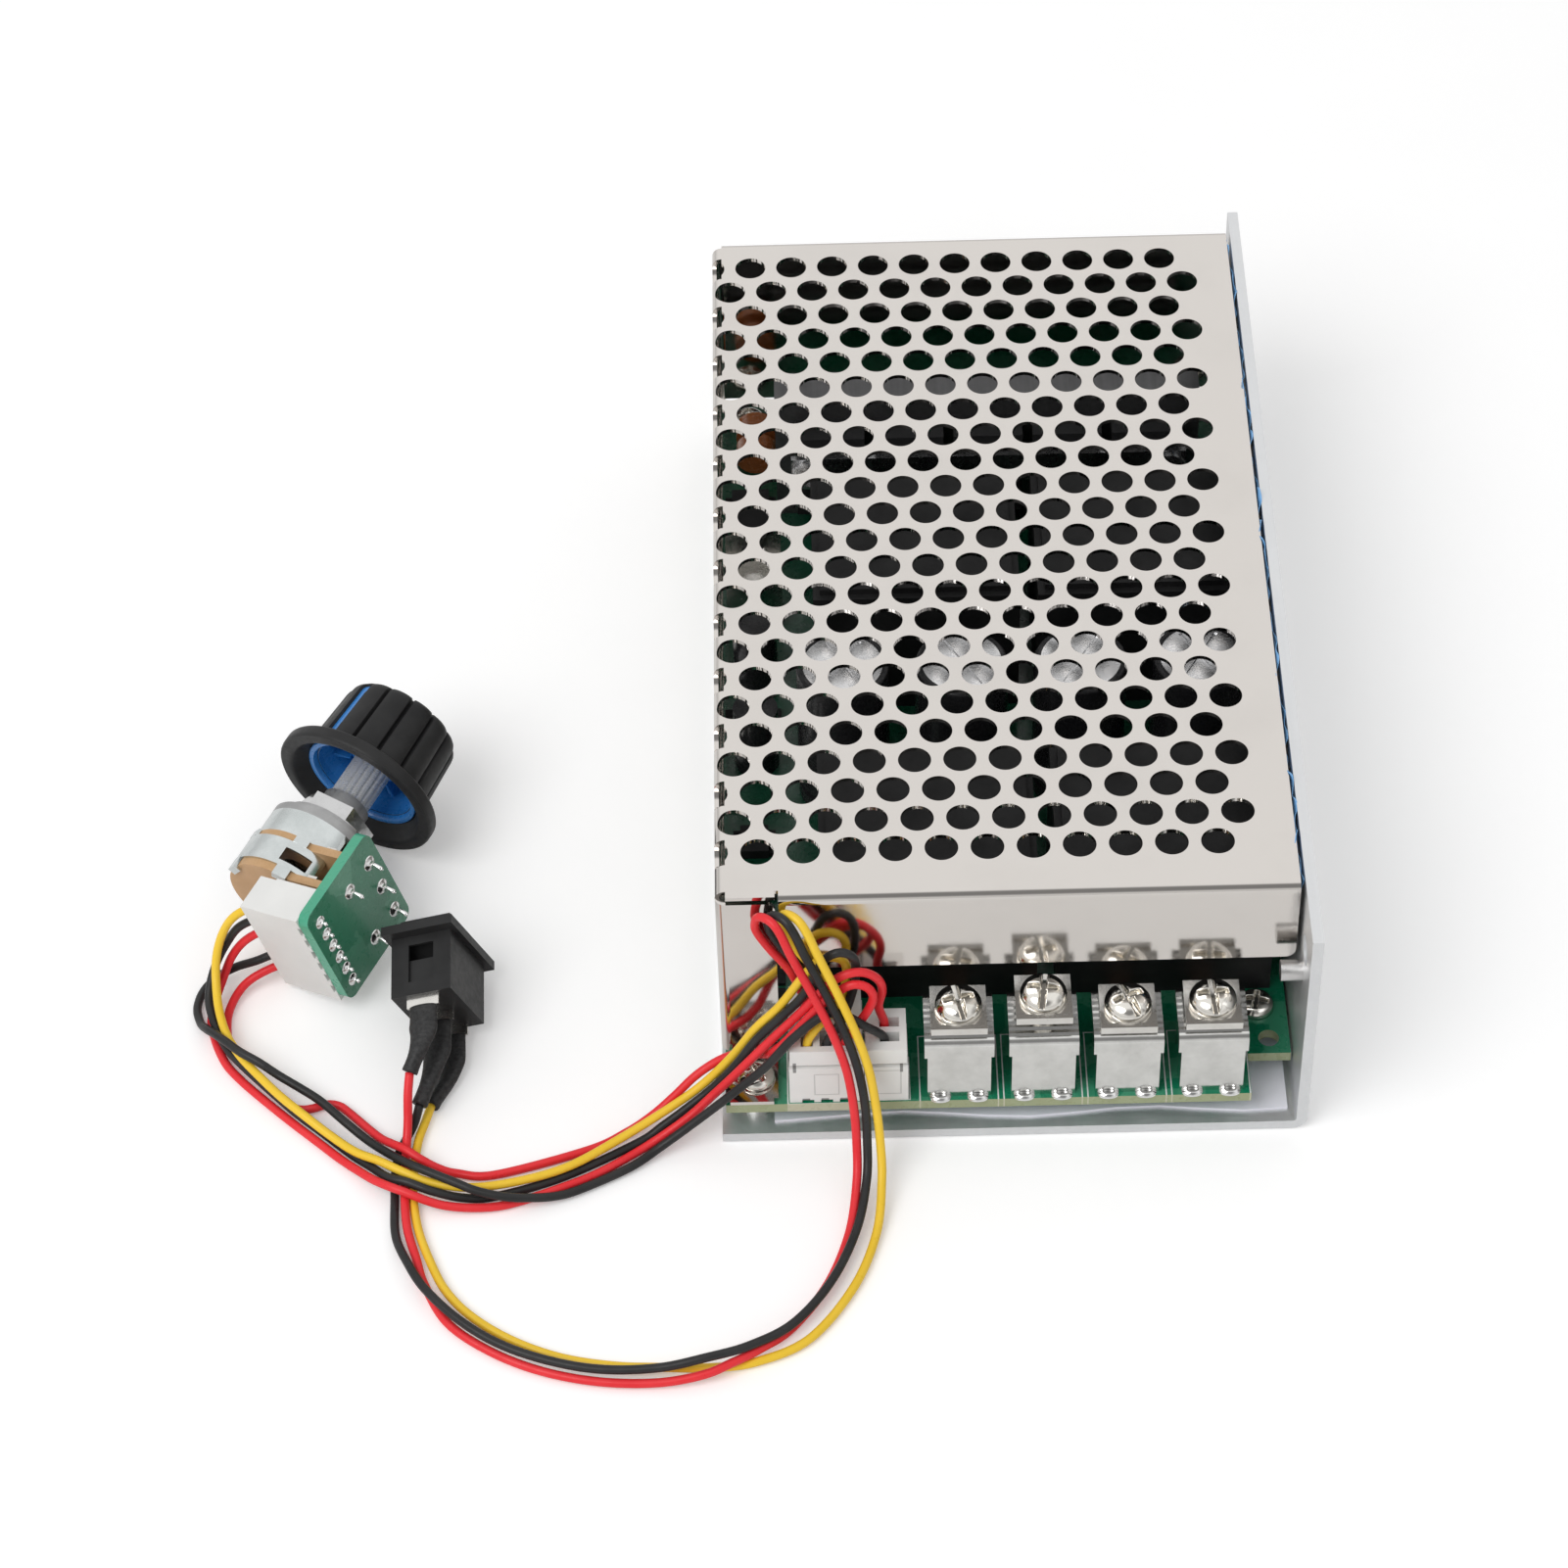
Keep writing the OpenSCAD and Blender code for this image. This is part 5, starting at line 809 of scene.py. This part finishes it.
def pan_screw(at, turn, length, radius, high, shank, pitch, slot, cross):
    """A pan head screw standing on a point, with a through slot and a cross in its head.

    The head is a square grid drawn out to a disc: the greater of |x| and |y| is the distance from
    the middle, and the height over a point at share s of the radius is high (1 - s^2.6)^(1/2.6).
    The recess goes down to floor by a smooth step inside the slot and inside the cross. The
    shank is a wave of one pitch on a rod: radius - depth |2 frac(z / pitch - turn) - 1|."""
    n, power, floor, arm = 84, 2.6, .42 * high, .62
    e = np.linspace(-1, 1, n)
    u, v = np.meshgrid(e, e, indexing="ij")
    s = np.maximum(np.abs(u), np.abs(v))
    with np.errstate(divide="ignore", invalid="ignore"):
        away = np.where(s > 0, s / np.hypot(u, v), 0)
    # Even spacing near the middle, round at the rim.
    x, y = (q * (1 + (away - 1) * s ** 2) for q in (u, v))
    share = np.clip(np.hypot(x, y), 0, 1)
    z = high * (1 - share ** power) ** (1 / power)
    x, y = x * radius, y * radius
    soft = radius * .03

    def inside(q, half):
        t = np.clip((half + soft - np.abs(q)) / (2 * soft), 0, 1)
        return t * t * (3 - 2 * t)

    deep = np.maximum(inside(x, slot / 2) * (1 if cross >= 1 else inside(y, cross * radius)),
                      inside(y, slot / 2) * inside(x, min(cross, arm) * radius))
    z = z - deep * np.clip(z - floor, 0, None)
    top = np.stack((x, y, z), -1).reshape(-1, 3)
    r, c = np.meshgrid(np.arange(n - 1), np.arange(n - 1), indexing="ij")
    near, far = r * n + c, (r + 1) * n + c
    quads = np.stack((near, far, far + 1, near + 1), -1).reshape(-1, 4)
    k = np.arange(n - 1)
    rim = np.concatenate((k * n, (n - 1) * n + k, (n - 1 - k) * n + n - 1, (n - 1 - k)))
    head = (top, quads.tolist() + [rim[::-1].tolist()])
    rows = max(8, int(length / pitch * 8))
    down = np.linspace(0, -length, rows)
    profile = np.vstack(((0, .0001), np.stack((np.full(rows, shank), down), 1), (0, -length)))
    depth = pitch * .45

    def thread(a, r, z):
        wave = np.abs(2 * np.mod(z / pitch - a / (2 * math.pi), 1) - 1)
        return np.where(r > 0, wave * depth, 0)

    points, faces = woven((head, upright(*turned(profile, 28, thread))))
    return swung(points, math.radians(turn)) + np.asarray(at), faces


def solder_cone(at, out, side, wide, high, pin, proud, lean):
    """A solder fillet with its pin: radius pin + (wide - pin)(1 - t)^2.4 up to the height.

    Above it the pin stands proud, and leans to the side by lean times the height over the cone."""
    t = np.linspace(0, 1, 9)
    cone = np.stack((pin + (wide - pin) * (1 - t) ** 2.4, high * t), 1)
    tip = ((pin * .98, high + proud * .6), (pin * .9, high + proud - pin * .3),
           (pin * .5, high + proud))
    profile = np.vstack(((0, -.0001), (wide, -.0001), cone, tip, (0, high + proud)))
    points, faces = upright(*turned(profile, 20))
    out = np.asarray(out, float) / np.linalg.norm(out)
    side = np.asarray(side, float) / np.linalg.norm(side)
    third = np.cross(out, side)
    x, y, z = points.T
    over = np.clip(z - high, 0, None) * lean
    points = np.asarray(at) + np.outer(x + over, side) + np.outer(y, third) + np.outer(z, out)
    return points, faces


# ---------------------------------------------------------------- operators


class OBJECT_OT_controller_studio(bpy.types.Operator):
    """Pale floor, even room light, one soft lamp and the camera"""

    bl_idname = "object.controller_studio"
    bl_label = "Studio and camera"

    def execute(self, context):
        studio = context.scene.controller_studio
        scene = context.scene
        scene.view_settings.view_transform = "Standard"

        half, low = studio.floor_size / 2, -.0002
        mesh = bpy.data.meshes.new("floor")
        mesh.from_pydata([(-half, -half, low), (half, -half, low), (half, half, low),
                          (-half, half, low)], [], [(0, 1, 2, 3)])
        floor = bpy.data.objects.new("floor", mesh)
        context.collection.objects.link(floor)
        f = Finish("pale floor")
        grain = f.noise(.02, 3)
        seen = f.node("ShaderNodeLightPath", out="Is Camera Ray")
        f.set(Base_Color=f.mixed(grain, (.9, .9, .9), (.92, .92, .92)), Roughness=.9,
              Specular_IOR_Level=.1, Emission_Color=(1, 1, 1))
        f.feed(f.shader.inputs["Emission Strength"], seen * .2)
        mesh.materials.append(f.material)

        world = bpy.data.worlds.new("room")
        scene.world = world
        world.use_nodes = True
        g = Graph(world.node_tree)
        path = g.node("ShaderNodeLightPath")
        seen, matt, through = (
            Tap(g, path.socket.node.outputs[key]) for key in
            ("Is Camera Ray", "Is Diffuse Ray", "Is Transmission Ray"))
        way = g.node("ShaderNodeTexCoord", out="Generated")
        height = g.node("ShaderNodeSeparateXYZ", None, {0: way}, out=2)

        def toward(x, y, z, wide, soft):
            """1 within wide degrees of a direction, 0 outside, over a soft edge."""
            aim = np.array((x, y, z)) / math.hypot(x, y, z)
            dot = g.node("ShaderNodeVectorMath", {"operation": "DOT_PRODUCT"},
                         {0: way, 1: aim.tolist()}, out="Value")
            outer, inner = (math.cos(math.radians(wide + q)) for q in (soft, -soft))
            return g.fit(dot, outer, inner, 0, 1)

        # Bright sky panels with the dark gap round the photographer, which polished metal shows.
        sheen = g.fit(height, -.05, .5, .62, .98)
        sheen = sheen - toward(.1, -.9, .9, 24, 9) * .72 - toward(-.9, .35, .35, 18, 8) * .35
        sheen = sheen - toward(.95, -.1, .3, 20, 8) * .45
        plain = g.fit(seen + through, 0, 1, 0, 1)
        strength = plain + (1 - plain) * (matt * studio.sky + (1 - matt) * sheen)
        sky = g.node("ShaderNodeBackground", None, {"Color": (1, 1, 1), "Strength": strength})
        g.node("ShaderNodeOutputWorld", None, {"Surface": sky})

        light = bpy.data.lights.new("soft lamp", "AREA")
        light.shape = "DISK"
        light.size = 1.1
        light.energy = studio.lamp
        lamp = bpy.data.objects.new("soft lamp", light)
        context.collection.objects.link(lamp)
        lamp.matrix_world = facing(np.array((-.75, -.7, 1.25)), np.array((-.02, -.02, 0)))

        view = bpy.data.cameras.new("camera")
        view.sensor_width = 36
        view.lens = 106.402
        view.clip_end = 100
        camera = bpy.data.objects.new("camera", view)
        context.collection.objects.link(camera)
        camera.matrix_world = placed(
            (.99966786, -.01272137, -.0224128), (.02449212, .73956711, .67263707),
            (.0080189, -.6729626, .73963304), (-.024715, -.452812, .490304))
        scene.camera = camera
        return {"FINISHED"}


def placed(right, up, back, at):
    """Matrix whose columns are three axes and a place."""
    rows = np.stack((right, up, back, at), 1)
    return Matrix(np.vstack((rows, (0, 0, 0, 1))).tolist())


def facing(at, target):
    """Matrix of a lamp at a place that shines at a target, with its X axis level."""
    back = (at - target) / np.linalg.norm(at - target)
    right = np.cross((0, 0, 1), back)
    right /= np.linalg.norm(right)
    return placed(right, np.cross(back, right), back, at)


class OBJECT_OT_controller_leads(bpy.types.Operator):
    """Eight round vinyl leads between the control, the switch and the case"""

    bl_idname = "object.controller_leads"
    bl_label = "Leads"

    def execute(self, context):
        sizes = context.scene.controller_sizes
        radius = sizes.lead_width / 2
        step = .0006
        for node, (slot, points) in LEAD_RUNS.items():
            points = np.array(points) / HUNDREDTHS
            run, length = spaced(eased(points, step / 2), step)
            rings = tube(run, radius, radius, sizes.lead_sides)
            piece = new_piece(node.replace("_wire", "") + "_lead", "case", slot, rings,
                              capped(len(run), sizes.lead_sides))
            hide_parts(node)
        return {"FINISHED"}


class OBJECT_OT_controller_sleeves(bpy.types.Operator):
    """Three shrunk sleeves from the switch's flat lugs down to its leads"""

    bl_idname = "object.controller_sleeves"
    bl_label = "Shrunk sleeves"

    def execute(self, context):
        sizes = context.scene.controller_sizes
        step, sides = .0003, 28
        parts = []
        # The half axes ease from the flat lug's to the round end's by 3s^2 - 2s^3, times 1 and
        # two bell curves: a swell past the lug and a rolled lip at the end.
        for middle in SLEEVE_RUNS:
            run, _ = spaced(eased(np.array(middle) / HUNDREDTHS, step), step)
            t = np.linspace(0, 1, len(run))
            s = np.clip((t - .25) / .6, 0, 1)
            s = s * s * (3 - 2 * s)
            past_lug = .07 * np.exp(-((t - .36) / .09) ** 2)
            lip = .05 * np.exp(-((t - .97) / .03) ** 2)
            wide, thin = ((flat + (sizes.sleeve_end - flat) * s) * (1 + past_lug + lip)
                          for flat in (sizes.sleeve_wide, sizes.sleeve_thin))
            rings = tube(run, wide, thin, sides, LUG_SIDE)
            parts.append((rings.reshape(-1, 3), capped(len(run), sides)))
        piece = new_piece("shrunk_sleeves", "case", "shrink_sleeve", *woven(parts))
        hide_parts("lug_sleeves")
        return {"FINISHED"}


class OBJECT_OT_controller_case(bpy.types.Operator):
    """Base plate, cover, insulating sheet, stud and film"""

    bl_idname = "object.controller_case"
    bl_label = "Case"

    def execute(self, context):
        dress("chassis", "cover", "insulating_sheet", "earth_stud", "standoffs")
        self.film()
        screw = new_piece("foot_screw_head", "case", "screw_steel", *pan_screw(
            FOOT_SCREW, 31, .0035, **PAN_HEAD))
        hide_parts("foot_screw")
        return {"FINISHED"}

    def film(self):
        """Strip of film between the cover and the wall, standing up from low to its torn edge.

        The edge's height is the cover's plus the sum of five sines of unlike lengths, cut off
        near zero. The strip wavers sideways by two more sines that grow towards the edge."""
        stations, rows = 620, 7
        low, edge, tears, beside = .0352, .0375, .0013, .0371
        y = np.linspace(-.0596, .0655, stations)[:, None]
        t = np.linspace(0, 1, rows)[None]
        torn = sum(part * np.sin(y / length + turn) for part, length, turn in (
            (.5, .0041, .3), (.4, .0017, 1.1), (.35, .00093, 2.4), (.3, .0113, .7),
            (.25, .00051, 4.)))
        z = low + (edge + tears * np.clip(torn - .1, -.15, 1.2) - low) * t
        x = beside + .00026 * np.sin(y / .0023 + 3 * t) * t + .0002 * np.sin(y / .0007) * t ** 3
        grid = np.stack(np.broadcast_arrays(x, y, z), -1)
        film = new_piece("torn_film", "case", "film", grid, skin(stations, rows, closed=False))
        wall = film.modifiers.new("thickness", "SOLIDIFY")
        wall.thickness = .00008
        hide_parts("film_strip")


class OBJECT_OT_controller_board(bpy.types.Operator):
    """Main board and what is soldered on it"""

    bl_idname = "object.controller_board"
    bl_label = "Main board"

    def execute(self, context):
        dress("main_board", "heat_sink", "power_transistors", "transistor_clamp",
              "capacitors", "capacitor_tops", "relays", "chips", "small_capacitors", "signal_parts",
              "regulator", "disc_capacitors", "current_links")
        dress("board_sockets", "board_plugs", white_nylon="housing_nylon")
        heads = new_piece("board_screw_heads", "case", "screw_steel", *woven([
            pan_screw((x, y, BOARD_TOP), turn, .004, **PAN_HEAD) for x, y, turn in BOARD_SCREWS]))
        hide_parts("board_screws")
        drop = self.solder_drop(context.scene.controller_sizes.solder_width)
        solder = new_piece("terminal_solder_drops", "case", "solder", *woven([
            (drop[0] + (x + leg, -.0695, BOARD_TOP), drop[1])
            for x in TERMINAL_X for leg in (-.0025, .0025)]))
        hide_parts("terminal_solder")
        return {"FINISHED"}

    def solder_drop(self, wide):
        """A flat oval drop: with q the share of its radius, its height is 0.62 mm (1 - q^2)^0.8.

        Over the leg's end it has a dimple, less 0.26 mm exp(-(q / 0.42)^4)."""
        q = np.linspace(1, 0, 12)
        lift = .00062 * (1 - q ** 2) ** .8 - .00026 * np.exp(-(q / .42) ** 4)
        under = -.0001
        profile = np.vstack(((0, under), (wide, under), np.stack((wide * q, lift), 1)[:-1],
                             (0, lift[-1])))
        points, faces = upright(*turned(profile, 28))
        return points * (1.22, .74, 1), faces


class OBJECT_OT_controller_terminals(bpy.types.Operator):
    """Four screw terminals with their clamp washers"""

    bl_idname = "object.controller_terminals"
    bl_label = "Terminals"

    def execute(self, context):
        for k, (x, lift, turn) in enumerate(zip(TERMINAL_X, SCREW_LIFTS, SCREW_TURNS), 1):
            dress(f"terminal_{k}", f"clamp_washer_{k}")
            screw = new_piece(f"clamp_screw_{k}", f"screw_{k}", "screw_steel", *pan_screw(
                (x, TERMINAL_Y, .0182 + lift), turn, .008, **CLAMP_HEAD))
            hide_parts(f"terminal_screw_{k}")
        return {"FINISHED"}


class OBJECT_OT_controller_control(bpy.types.Operator):
    """Speed control, its small board and its knob"""

    bl_idname = "object.controller_control"
    bl_label = "Speed control"

    def execute(self, context):
        dress("pot_case", "pot_wafers", "pot_lugs", "pot_bush", "pot_nut", "pot_socket",
              "pot_plug")
        dress("pot_board", board="control_board")
        self.knob()
        self.insert()
        self.shaft()
        self.joints()
        return {"FINISHED"}

    def part(self, name, slot, points, faces, along, crease, node):
        """A piece that turns with the knob, with edges sharper than crease degrees kept sharp."""
        piece = new_piece(name, "speed_knob", slot, on_control(points, along), faces)
        piece.data.set_sharp_from_angle(angle=math.radians(crease))
        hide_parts(node)

    def knob(self):
        """Black grip and skirt, cut by fourteen grooves with crowned panels between them.

        With w the share of a panel from its groove, the cut is the crown 0.35 mm (1 - 2w)^2.4
        and the groove 0.75 mm exp(-(w / 0.055)^4). Over the pointer it is a flat channel."""
        profile = [
            (0, 13.8), (5, 13.8), (7.0, 13.78), (7.6, 13.68), (8.1, 13.45), (8.45, 13.1),
            (8.67, 12.65), (8.77, 12.1), (9.35, 2.9), (9.45, 2.6), (9.75, 2.35), (11.7, 1.95),
            (12.0, 1.87), (12.13, 1.7), (12.16, 1.4), (12.16, .5), (12.1, .2), (11.9, .02),
            (10.7, 0), (10.3, .1), (10.05, .4), (8.95, 1.95), (8.72, 2.2), (8.7, 2.65),
            (7.52, 2.7), (7.5, 11.5), (0, 11.5)]

        def flute(a, r, z):
            turn = (a - POINTER_TURN) / (2 * math.pi) * KNOB_PANELS
            w = np.abs(turn - np.round(turn))
            at_pointer = np.abs((a - POINTER_TURN + math.pi) % (2 * math.pi) - math.pi)
            side = (np.clip((z - .0027) / .0008, 0, 1) * np.clip((r - .0066) / .0012, 0, 1)
                    * (z < .01381) * (r > .0076))
            top = (z > .0131) * np.clip((r - .0064) / .0016, 0, 1) * (r <= .0076)
            near = np.clip(at_pointer * .009 / .0024, 0, 1)
            crown = .00035 * (1 - 2 * w) ** 2.4 * near
            groove = .00075 * np.exp(-(w / .055) ** 4) * (near > .5)
            channel = .00085 * (at_pointer * r < .00088) * (z < .01295)
            return (side + top) * np.maximum(crown + groove, channel)

        points, faces = upright(*turned(finer(profile, .55) / 1000, KNOB_PANELS * 30, flute))
        self.part("knob_grip", "knob_plastic", points, faces, KNOB_STANDS, 40, "knob")

    def insert(self):
        """Blue cup inside the knob with its hub, and the pointer in the grip's channel.

        The cup is turned. In twelve narrow fans its wall is drawn in to the hub below a step,
        which makes ribs. The pointer is a strip: across it the radius is the grip's less the
        channel's depth plus a low crown 0.12 mm (1 - v^2), along it the grip's own outline."""
        profile = [
            (0, 11.4), (7.42, 11.4), (7.45, 2.75), (8.55, 2.62), (8.62, 2.1), (8.5, 1.92),
            (8.2, 1.86), (7.85, 1.92), (7.7, 2.15), (7.35, 4.2), (7.1, 5.4), (7.08, 5.5),
            (6.8, 10.4), (4.5, 10.5), (4.35, 6.2), (4.2, 6.02), (3.3, 6.0), (3.12, 6.2),
            (3.1, 11), (0, 11)]

        def ribs(a, r, z):
            off = np.abs((a / (2 * math.pi) * CUP_RIBS + .5) % 1 - .5)
            wall = (r > .0046) & (r < .00709) & (z > .00545) & (z < .0109)
            return np.where(wall & (off < .07), r - .0044, 0)

        points, faces = upright(*turned(finer(profile, .8) / 1000, 240, ribs))
        self.part("knob_cup", "blue_plastic", points, faces, KNOB_STANDS, 38, "knob_insert")
        line = finer([(9.2, 2.85), (8.62, 12.35), (8.42, 12.85), (8.1, 13.2)], .5) / 1000
        r, z = line[:, :1], line[:, 1:]
        v = np.linspace(-1, 1, 9)[None]
        over = np.stack((r - .00042 + .00012 * (1 - v ** 2), .00086 * v + 0 * r, z + 0 * v), -1)
        under = over - (.0006, 0, 0)
        strip = np.concatenate((over, under[:, ::-1]), 1)
        points, faces = upright(strip.reshape(-1, 3), capped(len(line), strip.shape[1]))
        self.part("knob_pointer", "blue_plastic", swung(points, POINTER_TURN), faces, KNOB_STANDS,
                  50, "knob_insert")

    def shaft(self):
        """Splined shaft: its radius drops by 0.28 mm c^3 with c = (1 - cos 18a) / 2 at turn a."""
        profile = [(0, -3), (2.95, -3), (2.98, 7.8), (2.98, 8.4), (2.98, 19), (2.7, 19.6),
                   (0, 19.7)]

        def splines(a, r, z):
            wave = .5 - .5 * np.cos(a * SHAFT_FLUTES)
            return .00028 * wave ** 3 * np.clip((z - .0079) / .0004, 0, 1) * (r > .002)

        points, faces = upright(*turned(finer(profile, 1.6) / 1000, SHAFT_FLUTES * 12, splines))
        self.part("splined_shaft", "shaft_metal", points, faces, 0, 40, "pot_shaft")

    def joints(self):
        """Solder fillets with their pins on the small board's outer face."""
        outer_face = .01355
        lugs = [(-.0037, s * .005) for s in (-1, 0, 1)] + [(-.00878, s * .005) for s in (-1, 1)]
        ways = [(-.01553, -.00654 + .0025 * k) for k in range(6)]
        lean = POT_AXIS * -.2 + POT_UP

        def cones(places, *sizes):
            return [solder_cone(POT_AT + a * POT_AXIS + outer_face * POT_ACROSS + u * POT_UP,
                                POT_ACROSS, lean, *sizes) for a, u in places]

        solder = new_piece("control_solder", "case", "solder", *woven(
            cones(lugs, .00115, .0008, .00032, .0013, .35)
            + cones(ways, .00095, .0007, .0003, .0004, .2)))
        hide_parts("pot_solder")


class OBJECT_OT_controller_switch(bpy.types.Operator):
    """Rocker switch and its lugs"""

    bl_idname = "object.controller_switch"
    bl_label = "Rocker switch"

    def execute(self, context):
        dress("switch_body", "switch_rocker", "switch_lugs")
        return {"FINISHED"}


class VIEW3D_PT_controller(bpy.types.Panel):
    """Lists the steps that make the speed controller"""

    bl_label = "Speed controller"
    bl_idname = "VIEW3D_PT_controller"
    bl_space_type = "VIEW_3D"
    bl_region_type = "UI"
    bl_category = "Controller"

    def draw(self, context):
        for step in STEPS:
            self.layout.operator(step.bl_idname)
        for group in ("controller_sizes", "controller_colours", "controller_studio"):
            held = getattr(context.scene, group)
            box = self.layout.box()
            for key in held.bl_rna.properties.keys():
                if key not in ("rna_type", "name"):
                    box.prop(held, key)


STEPS = (
    OBJECT_OT_controller_studio,
    OBJECT_OT_controller_sleeves,
    OBJECT_OT_controller_leads,
    OBJECT_OT_controller_case,
    OBJECT_OT_controller_board,
    OBJECT_OT_controller_terminals,
    OBJECT_OT_controller_control,
    OBJECT_OT_controller_switch,
)
GROUPS = {
    "controller_sizes": ControllerSizes,
    "controller_colours": ControllerColours,
    "controller_studio": ControllerStudio,
}


def register():
    for group in (*GROUPS.values(), *STEPS, VIEW3D_PT_controller):
        bpy.utils.register_class(group)
    for name, group in GROUPS.items():
        setattr(bpy.types.Scene, name, PointerProperty(type=group))


def unregister():
    for name in GROUPS:
        delattr(bpy.types.Scene, name)
    for group in (VIEW3D_PT_controller, *STEPS[::-1], *GROUPS.values()):
        bpy.utils.unregister_class(group)


def main():
    register()
    for step in STEPS:
        area, name = step.bl_idname.split(".")
        getattr(getattr(bpy.ops, area), name)()


if __name__ == "__main__":
    main()
